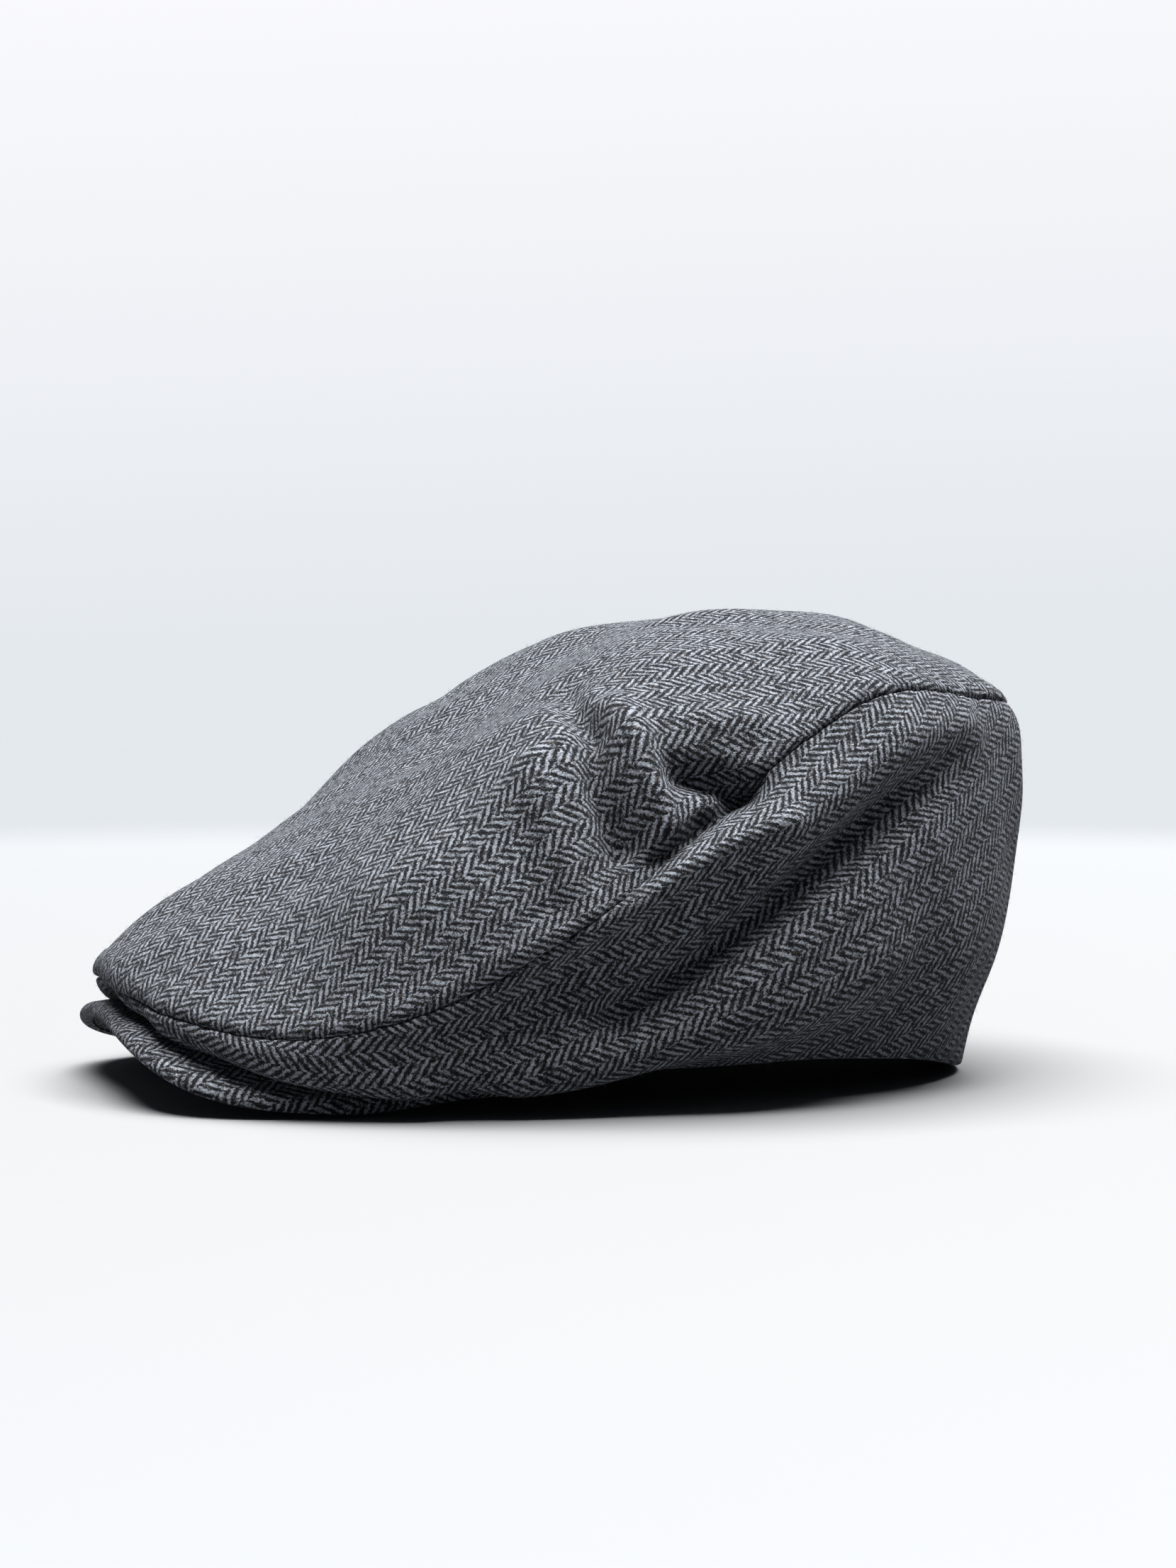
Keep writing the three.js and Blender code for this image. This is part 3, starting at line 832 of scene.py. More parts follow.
def side_panel(side, word, columns=250, rows=74):
    phi = side_columns(columns)
    on_block = side_phi(phi, side)
    hem_size = ring_size(on_block, HEM - 0.05)
    upper = walk(on_block, seam_t(on_block), near_seam).T
    lower = [(5.0, 0.0), (3.2, 0.0), *HEM_TURN, (5.0, 2 * WOOL), (HEM_ALLOWANCE, 2 * WOOL)]
    lower += [(HEM_ALLOWANCE, WOOL + 0.25), (5.0, WOOL + 0.25), (2.0, WOOL + 0.1), (2.6, WOOL)]
    low_t = HEM - np.array([s for s, _ in lower])[:, None] / hem_size
    middle = np.linspace(0, 1, rows)[1:-1, None]
    main = upper[-1] + middle * (low_t[0] - upper[-1])
    t_out = np.concatenate([upper, main, low_t[:2]])
    seam_away = np.concatenate([near_seam, np.full(len(t_out) - len(near_seam), FAR)])
    end_away = np.minimum(phi - FRONT, BACK - phi) * USUAL_REACH
    depth_out = (lip(seam_away) + welt(seam_away, SIDE_WELT))[:, None]
    depth_out = depth_out + puckers(on_block, seam_away[:, None], 2)
    t_hem = low_t[2:]
    depth_hem = np.array([d for _, d in lower[2:]])[:, None]
    back_rows = rows // 2
    rise = np.linspace(0, 1, back_rows)[:, None]
    t_in = low_t[-1] + rise * (upper[0] - low_t[-1])
    ends = lip(end_away)[None, :]
    depth_out = np.maximum(depth_out, ends)
    t = np.concatenate([t_out, t_hem, t_in[1:]])
    depth = np.concatenate([
        depth_out, np.maximum(depth_hem, ends * (depth_hem < WOOL)), np.full((back_rows - 1, len(phi)), WOOL)
    ])
    if t.shape[0] % 2:
        t, depth = t[:-1], depth[:-1]
    points = cloth(on_block[:, None], t.T, depth.T)
    outer_rows = len(t_out) + len(HEM_TURN) // 2
    middle_weight = np.exp(-((phi[:, None] / 0.35) ** 2)) * np.ones((1, outer_rows))
    grain = (0, math.cos(SIDE_GRAIN), math.sin(SIDE_GRAIN))
    cut = flat_cut(points[:, :outer_rows], grain, middle_weight)
    rest = points.shape[1] - outer_rows
    back = np.linspace(outer_rows - 1, 0, rest).astype(int)
    whole = np.concatenate([cut, cut[:, back]], axis=1)
    piece = sewn_piece(f"{word}_side_cloth", points, whole, wool_tweed)
    sheet_facts(piece, cut)
    return piece


side_panels = {}
for side, word in SIDES:
    side_panels[word] = side_panel(side, word)
    settle(side_panels[word], "crown", "wool_tweed", f"{word}_side_panel")

# %% [markdown]
# ## Interlining and lining
#
# Under the wool lies a plain cotton interlining, and under that the black satin that the wearer
# sees. Both are cut like the outside, so the same rows make them, only deeper. The satin is a
# little too big, and hangs in soft shallow waves between its seams.

# %% Inner layers
INTERLINING = (2.1, 0.6)     # depth of the outer face, thickness
LINING = (3.0, 0.5)
LAYER_END = 12.0             # inner layers stop this far above the hem, under the sweatband
LAYER_GAP = 0.4              # and this far from the seam between top and side


def under(phi, t, depth):
    """Points of the inner layers, which bridge the sharp folds of the wool."""
    return cloth(phi, t, depth, inner_table)


def slack(phi, t):
    """Extra depth where the satin hangs free."""
    free = np.sin(math.pi * np.clip(t / SEAM, 0, 1)) ** 2 * (t < SEAM)
    free = free + np.sin(math.pi * np.clip((t - SEAM) / 2.6, 0, 1)) ** 2 * (t >= SEAM)
    wave = np.sin(5 * phi + 2.2 * t) + np.sin(9 * phi - 3.1 * t + 1) + np.sin(14 * phi + 4.3 * t + 2)
    return 0.35 * free * (wave + 3)


def layer_piece(name, phi, t, layer, loose, finish, slot, ring=False):
    first, thick = layer
    extra = slack(phi, t) * loose
    outer, inner = under(phi, t, first + extra), under(phi, t, first + thick + extra)
    cut = flat_cut(outer, (0, 1, 0), np.ones(outer.shape[:2]), ring)
    if ring:
        cut = closed_ring(cut)
    points = np.concatenate([outer, inner[:, ::-1]], axis=1)
    piece = sewn_piece(name, points, np.concatenate([cut, cut[:, ::-1]], axis=1), finish, ring, ring)
    sheet_facts(piece, cut)
    settle(piece, "crown", slot, name.replace("_cloth", ""))


def inner_top(name, *what, columns=200, rows=50):
    phi = whole_turn(columns)[:, None]
    edge = SEAM - LAYER_GAP / ring_size(phi, SEAM - 0.1)
    t = np.linspace(0.05, 1, rows)[None, :] * edge
    layer_piece(name, phi, t, *what, ring=True)


def inner_side(name, side, *what, columns=150, rows=56):
    phi = np.linspace(FRONT + 0.004, BACK - 0.004, columns)
    on_block = side_phi(phi, side)[:, None]
    top_edge = SEAM + LAYER_GAP / ring_size(on_block, SEAM + 0.1)
    low_edge = HEM - LAYER_END / ring_size(on_block, HEM - 0.3)
    t = top_edge + np.linspace(0, 1, rows)[None, :] * (low_edge - top_edge)
    layer_piece(name, on_block, t, *what)


COTTON_LAYER = (INTERLINING, 0, canvas, "interlining")
SATIN_LAYER = (LINING, 1, satin, "satin_lining")
inner_top("top_interlining_cloth", *COTTON_LAYER)
inner_top("top_lining_cloth", *SATIN_LAYER)
for side, word in SIDES:
    inner_side(f"{word}_interlining_cloth", side, *COTTON_LAYER)
    inner_side(f"{word}_lining_cloth", side, *SATIN_LAYER)

# %% [markdown]
# ## Tapes and stitches
#
# Ribbon tapes cover the seams of the lining. A tape is a short section carried along the seam,
# held by a row of stitches near each edge. One stitch is a small pillow, a few faces only,
# because there are hundreds of them.

# %% Tapes
TAPE_DEPTH = 4.1
TAPE_THICK = 0.6
TAPE_WIDTH = 10.0
TAPE_ENDS = math.radians(-44), math.radians(80)
SEAM_TAPE_LENGTH = 0.23      # this and the next in metres, the rest in millimetres
BACK_TAPE_LENGTH = 0.06
STITCH_INSET = math.radians(1)
PUFF = 0.12                  # a tape's swelling between its edges


def strip_section(width, thick, lift=PUFF):
    """Closed section of a tape as (place across, depth) pairs, with its edges rounded."""
    half = width / 2
    outer = [(-half + 0.15, 0.0), (-half * 0.5, -lift), (0, -lift), (half * 0.5, -lift), (half - 0.15, 0.0)]
    edge = [(half, thick * 0.35), (half, thick * 0.65)]
    inner = [(half - 0.15, thick), (half * 0.5, thick + lift), (0, thick + lift), (-half * 0.5, thick + lift)]
    return outer + edge + inner + [(-half + 0.15, thick), (-half, thick * 0.65), (-half, thick * 0.35)]


def strip_cut(length, across, columns):
    """The flat place of a strip's points, in metres, from its length and places across it in mm."""
    along = np.linspace(0, length, columns)[:, None] * np.ones((1, len(across)))
    return np.stack([along, np.asarray(across) * MM * np.ones_like(along)], axis=-1)


def seam_tape(name, side, columns=150):
    phi = side_phi(np.linspace(*TAPE_ENDS, columns), side)[:, None]
    section = np.array(strip_section(TAPE_WIDTH, TAPE_THICK))
    t = SEAM + section[:, 0] / ring_size(phi, SEAM)
    points = under(phi, t, TAPE_DEPTH + section[:, 1])
    piece = sewn_piece(name, points, strip_cut(SEAM_TAPE_LENGTH, section[:, 0], columns), ribbon)
    settle(piece, "crown", "grosgrain", name.replace("_ribbon", ""))


def stitch_row(name, line, normals, pitch, length, wide):
    """Stitches along a line of points in millimetres, each a pillow with six sides."""
    steps = np.linalg.norm(np.diff(line, axis=0), axis=1)
    along = np.concatenate([[0], np.cumsum(steps)])
    vertices, faces = [], []
    for start in np.arange(pitch / 2, along[-1] - pitch / 2, pitch):
        ends = [start - length / 2, start, start + length / 2]
        middle = np.array([[np.interp(e, along, line[:, k]) for k in range(3)] for e in ends])
        up = np.array([np.interp(start, along, normals[:, k]) for k in range(3)])
        way = middle[2] - middle[0]
        across = np.cross(way, up)
        across /= np.linalg.norm(across)
        up = up / np.linalg.norm(up)
        base = len(vertices)
        for centre, size, rise in zip(middle, (0.45, 1.0, 0.45), (-0.05, 0.22, -0.05)):
            for k in range(6):
                a = k * math.pi / 3
                offset = across * math.cos(a) * wide / 2 * size + up * (math.sin(a) * wide / 3 * size + rise)
                vertices.append(centre + offset)
        for ring_start in (0, 6):
            for k in range(6):
                a, b = base + ring_start + k, base + ring_start + (k + 1) % 6
                faces.append((a, b, b + 6, a + 6))
        faces.append(tuple(base + k for k in range(5, -1, -1)))
        faces.append(tuple(base + 12 + k for k in range(6)))
    settle(small_shapes(name, vertices, faces, thread), "crown", "grosgrain")


for side, word in SIDES:
    seam_tape(f"{word}_seam_tape_ribbon", side)
    phi = side_phi(np.linspace(TAPE_ENDS[0] + STITCH_INSET, TAPE_ENDS[1] - STITCH_INSET, 200), side)
    for place, edge in ((-4.0, "upper"), (4.0, "lower")):
        t = SEAM + place / ring_size(phi, SEAM)
        face = under(phi, t, TAPE_DEPTH + TAPE_THICK + PUFF)
        deeper = under(phi, t, TAPE_DEPTH + TAPE_THICK + PUFF + 1)
        stitch_row(f"{word}_tape_{edge}_stitches", face, deeper - face, pitch=2.8, length=1.9, wide=0.45)


def back_tape(columns=40):
    t = np.linspace(3.3, 4.9, columns)[:, None]
    section = np.array(strip_section(TAPE_WIDTH, TAPE_THICK))
    size = block(BACK, t[:, 0])[:, 1] - AXIS_Y
    phi = BACK + section[:, 0] / size[:, None]
    points = under(phi, t * np.ones_like(phi), TAPE_DEPTH + 0.3 + section[:, 1])
    cut = strip_cut(BACK_TAPE_LENGTH, section[:, 0], columns)
    settle(sewn_piece("back_seam_tape_ribbon", points, cut, ribbon), "crown", "grosgrain", "back_seam_tape")


back_tape()

# %% [markdown]
# ## Sweatband, stay tape and label
#
# The sweatband is a ribbed cotton ribbon sewn inside the hem, standing a little off it. A narrow
# stay tape behind it keeps the hem from stretching, and a blank woven label hangs at the back.

# %% Bands round the opening
LEAST_SHEET = 10.0       # a narrower band is a tape, not a sheet
OPENING = 0.58           # metres round the head opening


def hem_line(phi):
    return block(phi, float(HEM))


def inward(phi):
    """Unit vectors towards the block's axis, from places round the head."""
    return np.stack([-np.cos(phi), -np.sin(phi), np.zeros_like(phi)], axis=-1)


def band(name, finish, slot_name, node, inset, thick, low, high, flare=0.0, columns=360):
    phi = whole_turn(columns)
    hem = hem_line(phi)
    round_edge = thick / 2
    heights = np.array([low, low + 0.3, *np.linspace(low + 2, high - 2, 9), high - 0.3, high])
    depths = np.array([round_edge, 0.1, *([0.0] * 9), 0.1, round_edge])
    z = np.concatenate([heights, heights[::-1]])
    into = np.concatenate([depths, (thick - depths)[::-1]])
    share = (z - low) / (high - low)
    ripple = 0.25 * np.sin(11 * phi) + 0.2 * np.sin(17 * phi + 1)
    reach = inset + into[None, :] + (flare * share[None, :]) + ripple[:, None] * share * (flare > 0)
    points = hem[:, None, :] + inward(phi)[:, None, :] * reach[..., None]
    points[..., 2] = hem[:, 2, None] + z
    cut = strip_cut(OPENING, z, columns + 1)
    piece = sewn_piece(name, points, cut, finish, ring=True)
    if high - low > LEAST_SHEET:
        sheet_facts(piece, cut[:, :len(heights)])
    settle(piece, "crown", slot_name, node)


STAY = {"inset": 4.1, "thick": 0.4, "low": 4.0, "high": 12.0}
SWEATBAND = {"inset": 4.8, "thick": 1.0, "low": 1.0, "high": 29.0, "flare": 0.35}
band("hem_stay_tape_cloth", canvas, "stay_tape", "hem_stay_tape", **STAY)
band("sweatband_ribbon", ribbon, "grosgrain", "sweatband", **SWEATBAND)
BAND_FACE = SWEATBAND["inset"] + SWEATBAND["thick"] + 0.05
phi = np.linspace(0, TURN, 500) + FRONT
hem = hem_line(phi)
for rise, name in ((3.2, "lower"), (27.0, "upper")):
    row = hem + inward(phi) * (BAND_FACE + SWEATBAND["flare"] * rise / (SWEATBAND["high"] - SWEATBAND["low"]))
    row[:, 2] = hem[:, 2] + rise
    stitch_row(f"sweatband_{name}_stitches", row, inward(phi), pitch=3.4, length=2.5, wide=0.6)

# %% [markdown]
# ## The brim
#
# A moulded board lies between two cloths. The top cloth wraps round the board's edge to the
# underside, where the under cloth meets it. The outline is a squarish oval, the middle arches up
# between two wings that stand on the table, and the back edge follows the hem, where it is sewn.

# %% Brim surface
BRIM_HALF = 82.0         # half its width
BRIM_ARCH = 19.0         # rise of its middle over its wings
BRIM_SHOW = 2.0          # how far it stands out past the nose
BRIM_END_RISE = 5.0      # rise of the wings' back ends
BRIM_THICK = 4.4
BRIM_WRAP = 2.2          # how far the top cloth turns under
BRIM_TUCK = 5.0          # how far its sewn edge lies under the hem
BRIM_SQUARE = 3.9        # power of the outline, where 2 is an ellipse
BRIM_INSIDE = 1.5        # sewn edge outside the hem line
BRIM_END = math.radians(57)
TOP_CLOTH_THICK = 1.4
UNDER_CLOTH_THICK = 1.0
BOARD_FACES = (1.7, 3.1)     # depth of a piece's two faces under the brim's top
UNDER_FACES = (BRIM_THICK - UNDER_CLOTH_THICK, BRIM_THICK)
brim_end_y = block(FRONT + BRIM_END, float(HEM))[1] - 8
brim_length = brim_end_y - (nose_y - BRIM_SHOW)
WING_Y = nose_y + 50


def brim_outer(share):
    """The outer edge, share from -1 at the right wing to 1 at the left one."""
    angle = share * math.pi / 2
    sideways = np.abs(np.sin(angle) / BRIM_HALF) ** BRIM_SQUARE
    ahead = np.abs(np.cos(angle) / brim_length) ** BRIM_SQUARE
    reach = (sideways + ahead) ** (-1 / BRIM_SQUARE)
    x, y = reach * np.sin(angle), brim_end_y - reach * np.cos(angle)
    ramp = np.clip((y - WING_Y) / (brim_end_y - WING_Y), 0, 1)
    rise = ramp * ramp * (3 - 2 * ramp) * BRIM_END_RISE
    return np.stack([x, y, BRIM_ARCH * (1 - (x / BRIM_HALF) ** 2) + rise + BRIM_THICK], axis=-1)


def brim_inner(share):
    """The sewn edge, which follows the hem."""
    phi = FRONT + share * BRIM_END
    edge = hem_line(phi) - inward(phi) * BRIM_INSIDE
    edge[..., 2] -= BRIM_TUCK
    return edge


def brim_place(share, from_edge, depth):
    """A place on the brim, from_edge millimetres in from its outer edge and depth under its top."""
    start, end = brim_inner(share)[:, None, :], brim_outer(share)[:, None, :]
    width = np.linalg.norm(end - start, axis=-1)
    reach = 1 - from_edge / width
    points = start + (end - start) * reach[..., None]
    points[..., 2] -= depth
    points[..., 2] += 0.35 * np.sin(points[..., 0] / 9.0) * np.sin(points[..., 1] / 13.0 + 1)
    return points


def brim_width(share):
    return np.linalg.norm(brim_outer(share) - brim_inner(share), axis=-1)[:, None]


def brim_sheet(name, faces, first, finish, slot_name, node, lip_radius=0.35, columns=170, rows=28):
    """A flat piece of the brim, from its sewn edge to first millimetres from the outer edge."""
    upper, lower = faces
    share = np.linspace(-1, 1, columns)
    near = first + np.linspace(1, 0, rows)[None, :] * (brim_width(share) - first)
    ease = lip(np.maximum(near - first, 0), lip_radius)
    top_side = brim_place(share, near, upper + ease)
    low_side = brim_place(share, near[:, ::-1], lower - ease[:, ::-1])
    points = np.concatenate([top_side, low_side], axis=1)
    cut = np.stack([points[..., 0] * MM, points[..., 1] * MM], axis=-1)
    piece = sewn_piece(name, points, cut, finish)
    if finish is wool_tweed:
        sheet_facts(piece, cut[:, :rows])
    settle_brim(piece, slot_name, node)


def settle_brim(piece, slot_name, *nodes):
    """Bakes a finished brim piece in place and hides the nodes that it stands for."""
    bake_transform(piece)
    if nodes:
        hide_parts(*nodes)
    print(piece.name, "-", len(piece.data.polygons), "faces")


def brim_top_cloth(columns=300, rows=60):
    """The top cloth's section: over the top, round the edge, a little way under, and back inside."""
    share = np.linspace(-1, 1, columns)
    width = brim_width(share)
    radius = BRIM_THICK / 2
    inner_radius = radius - TOP_CLOTH_THICK
    top = radius + np.linspace(1, 0, rows)[None, :] * (width - radius)
    arc = np.linspace(0, math.pi, 13)[None, 1:] * np.ones_like(width)
    around_edge = radius - (radius + 0.5) * np.sin(arc)
    wrap = np.array([[radius + 1.0, BRIM_WRAP + 1.2]]) * np.ones_like(width)
    inner_edge = radius - inner_radius * np.sin(arc)
    away = np.concatenate([top, around_edge, wrap, wrap[:, ::-1], inner_edge[:, ::-1], top[:, ::-2]], axis=1)
    depth = np.concatenate([
        np.zeros_like(top),
        radius - radius * np.cos(arc),
        np.full_like(wrap, BRIM_THICK),
        np.full_like(wrap, BRIM_THICK - UNDER_CLOTH_THICK),
        (radius - inner_radius * np.cos(arc))[:, ::-1],
        np.full_like(top[:, ::-2], TOP_CLOTH_THICK),
    ], axis=1)
    if away.shape[1] % 2:
        away, depth = away[:, :-1], depth[:, :-1]
    points = brim_place(share, away, depth)
    seen = top.shape[1] + around_edge.shape[1] + wrap.shape[1]
    cut = flat_cut(points[:, :seen], (0, 1, 0), np.ones((columns, seen)))
    back = np.linspace(seen - 1, 0, points.shape[1] - seen).astype(int)
    piece = sewn_piece("brim_top_cloth", points, np.concatenate([cut, cut[:, back]], axis=1), wool_tweed)
    sheet_facts(piece, cut)
    settle_brim(piece, "wool_tweed", "brim_top_cover")


brim_top_cloth()
brim_sheet("brim_board_sheet", BOARD_FACES, BRIM_WRAP + 0.3, board_plastic, "brim_board", "brim_board")
brim_sheet("brim_under_cloth", UNDER_FACES, BRIM_WRAP + 1.5, wool_tweed, "wool_tweed", "brim_under_cover",
           lip_radius=0.8)

# %% [markdown]
# ## The tape that joins brim and crown
#
# The brim's sewn edge hangs under the hem on a short turned tape, which closes the gap between them.

# %% Join tape
JOIN_LENGTH = 0.18       # metres
JOIN_THICK = 0.35


def join_tape(columns=150):
    share = np.linspace(-0.985, 0.985, columns)
    phi = FRONT + share * BRIM_END
    hem = hem_line(phi)
    ways = inward(phi)
    path = np.array([(4.05, 3.0), (3.95, 0.0), (3.4, -2.2), (1.6, -4.0), (-0.6, -6.6), (-1.1, -7.6)])
    outer = np.stack([hem + ways * inset + (0, 0, rise) for inset, rise in path], axis=1)
    inner = outer + ways[:, None, :] * JOIN_THICK
    section = np.concatenate([outer, inner[:, ::-1]], axis=1)
    cut = strip_cut(JOIN_LENGTH, [*path[:, 1], *path[::-1, 1]], columns)
    settle_brim(sewn_piece("brim_join_tape", section, cut, ribbon), "grosgrain")


join_tape()

# %% [markdown]
# ## Care label
#
# The label is a small folded piece of woven tape with nothing written on it. It starts as a box
# at the frame's own label, is cut across by subdivide so that it can bend with the sweatband, and
# gets its rounded edges from a bevel.

# %% Care label
BAND_RADIUS = 75.0       # of the sweatband at the back, mm
EASE = 0.9               # share of that bend that the label takes


def edit(step):
    """Runs one step in edit mode on the active object."""
    bpy.ops.object.mode_set(mode="EDIT")
    step()
    bpy.ops.object.mode_set(mode="OBJECT")


def round_edges(piece, width, segments):
    bevel = piece.modifiers.new("round", "BEVEL")
    bevel.width = width
    bevel.segments = segments
    bevel.limit_method = "ANGLE"
    bpy.ops.object.modifier_apply(modifier="round")
    bpy.ops.object.shade_smooth_by_angle(angle=math.radians(40))


def care_label():
    low, high = (Vector(corner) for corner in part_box("care_label"))
    bpy.ops.object.select_all(action="DESELECT")
    bpy.ops.mesh.primitive_cube_add(size=1, location=(low + high) / 2, scale=high - low)
    label = bpy.context.active_object
    label.name = "care_label_tape"
    bpy.ops.object.transform_apply(location=True, rotation=True, scale=True)
    edit(lambda: bpy.ops.mesh.subdivide(number_cuts=15))
    half = (high.x - low.x) / 2
    for vertex in label.data.vertices:
        place = vertex.co
        hang = (high.z - place.z) / (high.z - low.z)
        bend = (half**2 - place.x**2) / (2 * BAND_RADIUS * MM)
        place.y += bend * EASE - 0.0009 * hang**2 * (1 + 0.5 * math.sin(place.x * 260))
    round_edges(label, 0.00014, 2)
    label.data.materials.append(label_weave)
    settle(label, "crown", "woven_label", "care_label")
    across = np.linspace(-half * 0.9, half * 0.9, 40) / MM
    row = np.stack([across, np.zeros(40), np.full(40, high.z / MM - 1.6)], axis=-1)
    row[:, 1] = low.y / MM + ((half / MM) ** 2 - across**2) / (2 * BAND_RADIUS) * EASE - 0.08
    stitch_row("label_stitches", row, np.tile([0.0, -1.0, 0.0], (40, 1)), pitch=2.0, length=1.4, wide=0.35)


care_label()

# %% [markdown]
# ## Snap
#
# The snap is two pressed discs: one has a hole, the other a pin that clicks into it. Each starts
# as a cylinder, is shaped by inset, extrude and bridge, and is turned the way the frame's disc
# faces.

# %% Snap
SNAP_RADIUS = 0.0045
SNAP_BORE = 0.0019
SNAP_NUB = 0.0015
NUB_FOOT = 0.0003        # width and height of the step round the pin's foot
NUB_RISE = 0.0005
SOCKET_THICK = 0.0008
BALL_THICK = 0.0005


def node_axis(name):
    """The way a flat node faces, from its own upper faces."""
    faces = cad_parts[name].data.polygons
    total = sum((face.normal * face.area for face in faces if face.normal.z > 0.9), Vector())
    return total.normalized()


def pick_faces(mesh, wanted):
    bpy.ops.object.mode_set(mode="EDIT")
    bpy.ops.mesh.select_mode(type="FACE")
    bpy.ops.mesh.select_all(action="DESELECT")
    bpy.ops.object.mode_set(mode="OBJECT")
    for face in mesh.polygons:
        face.select = wanted(face)


def snap_half(name, thick, pin):
    bpy.ops.object.select_all(action="DESELECT")
    bpy.ops.mesh.primitive_cylinder_add(vertices=64, radius=SNAP_RADIUS, depth=thick)
    half = bpy.context.active_object
    half.name = name + "_metal"
    if pin:
        pick_faces(half.data, lambda face: face.normal.z > 0.9)
        for inset, rise in ((SNAP_RADIUS - SNAP_NUB - NUB_FOOT, NUB_FOOT), (NUB_FOOT, NUB_RISE)):
            edit(lambda: bpy.ops.mesh.inset(thickness=inset))
            edit(lambda: bpy.ops.mesh.extrude_region_move(TRANSFORM_OT_translate={"value": (0, 0, rise)}))
    else:
        pick_faces(half.data, lambda face: abs(face.normal.z) > 0.9)
        edit(lambda: bpy.ops.mesh.inset(thickness=SNAP_RADIUS - SNAP_BORE))
        edit(lambda: bpy.ops.mesh.bridge_edge_loops())
    round_edges(half, 0.00016, 3)
    low, high = (Vector(corner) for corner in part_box(name))
    turn = Vector((0, 0, 1)).rotation_difference(node_axis(name)).to_matrix().to_4x4()
    heights = [vertex.co.z for vertex in half.data.vertices]
    half.data.transform(Matrix.Translation((0, 0, -(min(heights) + max(heights)) / 2)))
    half.data.transform(Matrix.Translation((low + high) / 2) @ turn)
    half.data.materials.append(snap_plate)
    return half


settle(snap_half("snap_socket", SOCKET_THICK, False), "crown", "snap_metal", "snap_socket")
settle(snap_half("snap_ball", BALL_THICK, True), "brim", "snap_metal", "snap_ball")

# %% [markdown]
# ## Loose fibres
#
# Brushed wool is never clean: short fibres stand off it all over, and its outline is soft. Each
# fibre is a bent spike with three sides, a few faces only, placed by seeded chance on the outer
# faces, and they're joined in one piece per panel.

# %% Nap
NAP_ROOT = 0.030         # half thickness of a fibre at its root, mm
NAP_LOWEST = 5.0         # no fibres below this height, mm
HEAD_MIDDLE = np.array([0, 20.0, 45.0])
fibre_wool = Finish("loose wool fibre")
fibre_tone = fibre_wool.noise(fibre_wool.node("TexCoord", output=3), 420.0, 1.0)
wool_fibre = fibre_wool.surface(
    Base_Color=fibre_wool.mix(fibre_tone.step(0.35, 0.65), (0.08, 0.085, 0.095, 1), (0.30, 0.32, 0.36, 1)),
    Roughness=0.8,
)


def off_the_crown(centre, normal):
    """True for faces that look away from the middle of the head and aren't close to the table."""
    outwards = ((centre - HEAD_MIDDLE) * normal).sum(axis=1) > 0
    return outwards & (centre[:, 2] > NAP_LOWEST)


def nap(name, source, count, seed):
    """count fibres on the outward faces of source."""
    rng = np.random.default_rng(seed)
    mesh = source.data
    faces = len(mesh.polygons)
    centre, normal, area = np.zeros(faces * 3), np.zeros(faces * 3), np.zeros(faces)
    mesh.polygons.foreach_get("center", centre)
    mesh.polygons.foreach_get("normal", normal)
    mesh.polygons.foreach_get("area", area)
    centre, normal = centre.reshape(-1, 3) / MM, normal.reshape(-1, 3)
    chance = area * off_the_crown(centre, normal)
    picked = rng.choice(faces, size=count, p=chance / chance.sum())
    up = normal[picked]
    way = np.cross(up, rng.normal(size=(count, 3)))
    way /= np.linalg.norm(way, axis=1, keepdims=True)
    across = np.cross(up, way)
    draw = lambda low, high: rng.uniform(low, high, (count, 1))
    root = centre[picked] + (way * draw(-0.5, 0.5) + across * draw(-0.5, 0.5))
    length, stand, curl = draw(0.8, 2.3), draw(0.15, 0.75), draw(-0.35, 0.35)
    path = [
        root - up * 0.15,
        root + way * length * 0.5 + up * length * stand * 0.62 + across * length * curl,
        root + way * length * (1 - stand * 0.4) + up * length * stand,
    ]
    vertices = []
    for point, size in zip(path, (1.0, 0.8, 0.25)):
        for k in range(3):
            a = k * 2 * math.pi / 3
            vertices.append(point + (across * math.cos(a) + up * math.sin(a)) * NAP_ROOT * size)
    vertices = np.stack(vertices, axis=1).reshape(-1, 3)
    shape = [(0, 2, 1), (6, 7, 8)]
    for ring_start in (0, 3):
        for k in range(3):
            a, b = ring_start + k, ring_start + (k + 1) % 3
            shape.append((a, b, b + 3, a + 3))
    faces = [[9 * n + v for v in face] for n in range(count) for face in shape]
    settle(small_shapes(name, vertices, faces, wool_fibre), "crown", "wool_tweed")


nap("top_panel_nap", top, 3800, 11)
nap("left_side_nap", side_panels["left"], 2400, 12)
nap("right_side_nap", side_panels["right"], 2400, 13)

# %% [markdown]
# ## The table
#
# The cap stands on a pale round table that grows a little paler and clears away to nothing at its
# rim. It isn't part of the cap, so it's only staged.

# %% Floor
FLOOR_TONE = (0.190, 0.193, 0.198, 1)
# Painted light: the paler tone that the table takes towards its rim, which makes up for the lamp's light
# falling off there.
FLOOR_RIM_PAINTED_LIGHT = (0.300, 0.318, 0.342, 1)
FLOOR_RADIUS = 0.98      # metres


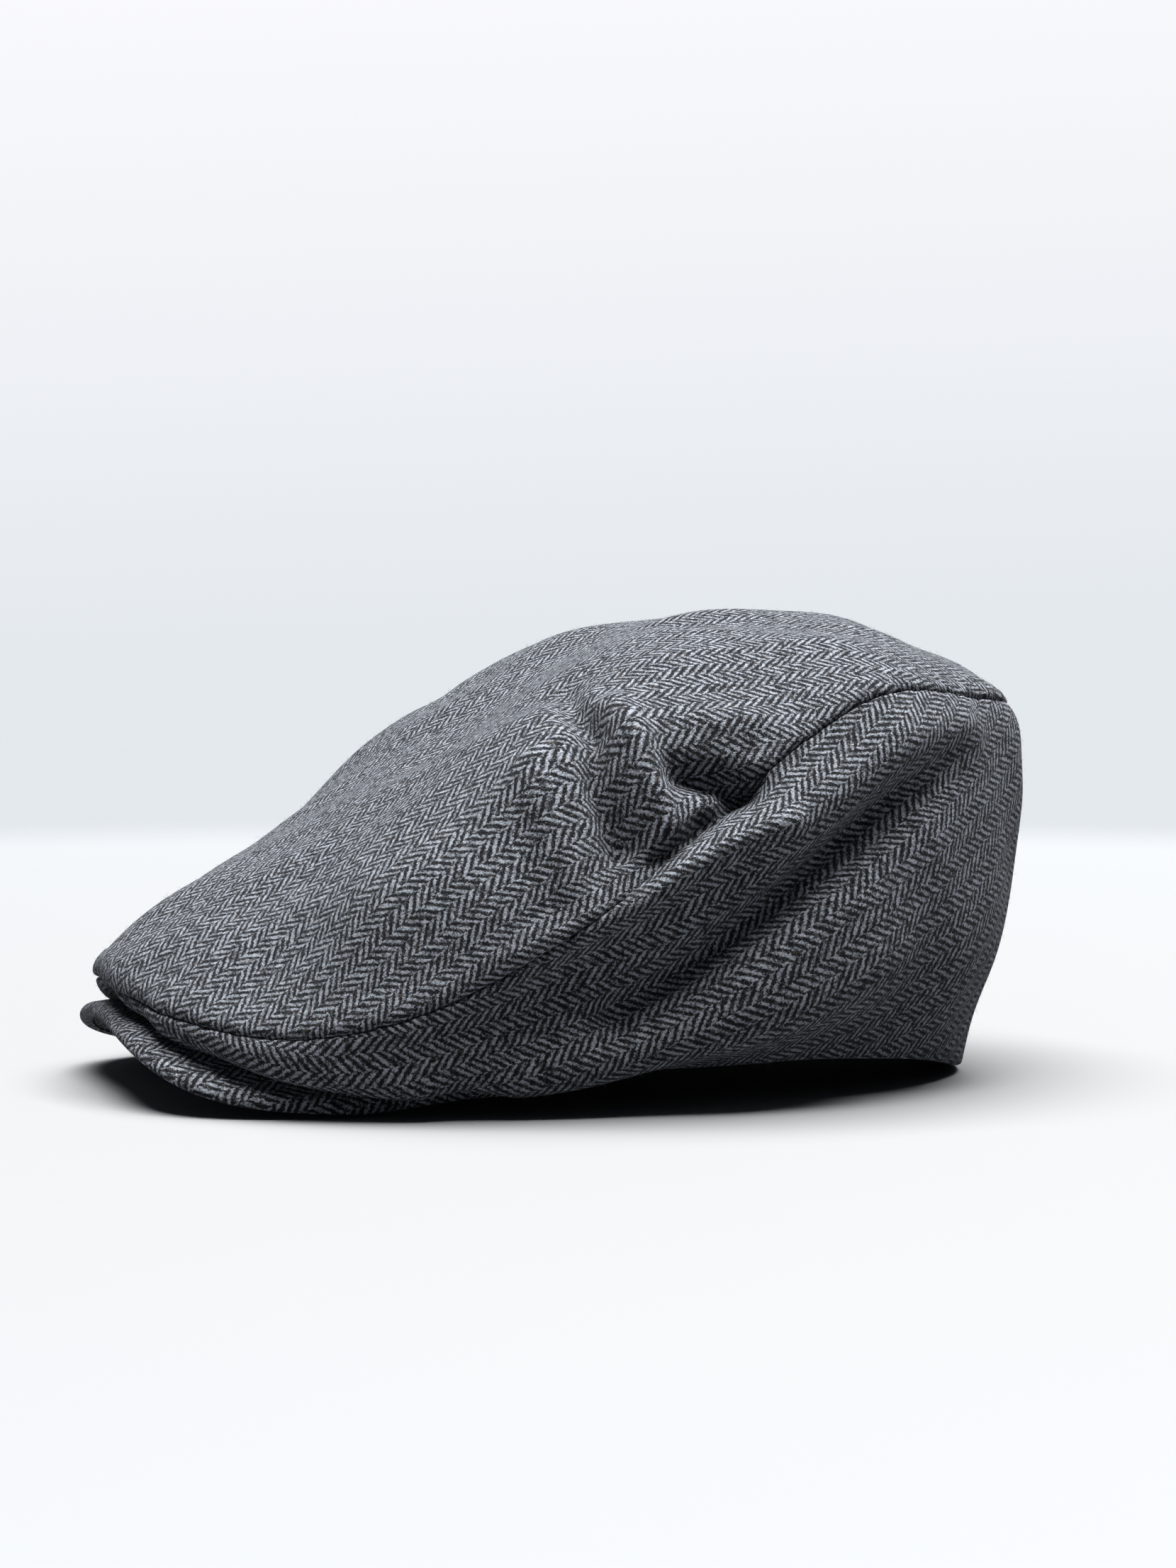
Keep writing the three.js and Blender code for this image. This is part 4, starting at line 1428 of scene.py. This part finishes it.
def make_floor():
    bpy.ops.mesh.primitive_circle_add(vertices=160, radius=FLOOR_RADIUS, fill_type="NGON", location=(0, 0, 0))
    floor = bpy.context.active_object
    floor.name = "floor"
    pale = Finish("pale table")
    place = pale.node("TexCoord", output=3)
    radius = pale.node("VectorMath", {"operation": "LENGTH"}, {0: place}, 1)
    # Painted light: the table grows paler away from its middle, to make up for the lamp's light falling off
    # towards the rim.
    tone = pale.mix(radius * radius * 0.48, FLOOR_TONE, FLOOR_RIM_PAINTED_LIGHT)
    solid = pale.node("BsdfPrincipled", {}, {"Base Color": tone, "Roughness": 0.6, "Specular IOR Level": 0.1})
    clear = pale.node("BsdfTransparent")
    mixed = pale.node("MixShader", {}, {0: radius.step(0.80, 0.97), 1: solid, 2: clear})
    pale.node("OutputMaterial", {}, {"Surface": mixed})
    floor.data.materials.append(pale.material)


make_floor()
print("floor ready")

# %% [markdown]
# ## Backdrop and light
#
# The wall behind is plain, with painted shade that darkens it near the table and towards one side. It's
# painted on the world and only the camera sees it, so it doesn't light the cap. A big soft lamp right over
# the cap gives the bright top and the dark side. The world itself adds a faint cool fill.

# %% Backdrop and lights
WALL_LOW = (0.775, 0.812, 0.852, 1)
WALL_HIGH = (0.95, 0.95, 0.985, 1)
FILL = (0.80, 0.88, 1.0, 1)
FILL_STRENGTH = 0.10
LIT_PLACE = Vector((0, 0, 0.05))     # where the lamp points, in the middle of the cap


class Backdrop(Finish):
    """The same helper, for the world's nodes."""

    def __init__(self, name):
        world = bpy.data.worlds.new(name)
        world.use_nodes = True
        bpy.context.scene.world = world
        self.tree = world.node_tree
        self.tree.nodes.clear()


def make_world():
    studio = Backdrop("studio")
    way = studio.node("TexCoord")
    height = studio.node("SeparateXYZ", {}, {0: way}, 2)
    sideways = studio.node("VectorMath", {"operation": "DOT_PRODUCT"}, {0: way, 1: (0.24, 0.97, 0)}, 1)
    # Painted shade: the wall darkens towards the table and towards one side.
    tone = studio.mix((height + 0.045) / 0.12 - sideways * 0.35, WALL_LOW, WALL_HIGH)
    fill = studio.node("Background", {}, {"Color": FILL, "Strength": FILL_STRENGTH})
    wall = studio.node("Background", {}, {"Color": tone})
    seen = studio.node("LightPath")
    mixed = studio.node("MixShader", {}, {0: seen, 1: fill, 2: wall})
    studio.node("OutputWorld", {}, {"Surface": mixed})


def softbox(place, size, watts, colour):
    data = bpy.data.lights.new("key softbox", "AREA")
    data.shape = "RECTANGLE"
    data.size = data.size_y = size
    data.energy = watts
    data.color = colour
    lamp = add_object("key softbox", data)
    lamp.location = place
    lamp.rotation_mode = "QUATERNION"
    lamp.rotation_quaternion = (LIT_PLACE - Vector(place)).to_track_quat("-Z", "Y")


make_world()
softbox((-0.05, 0.18, 2.2), 2.2, 312, (1.0, 0.995, 0.98))
print("stage ready")
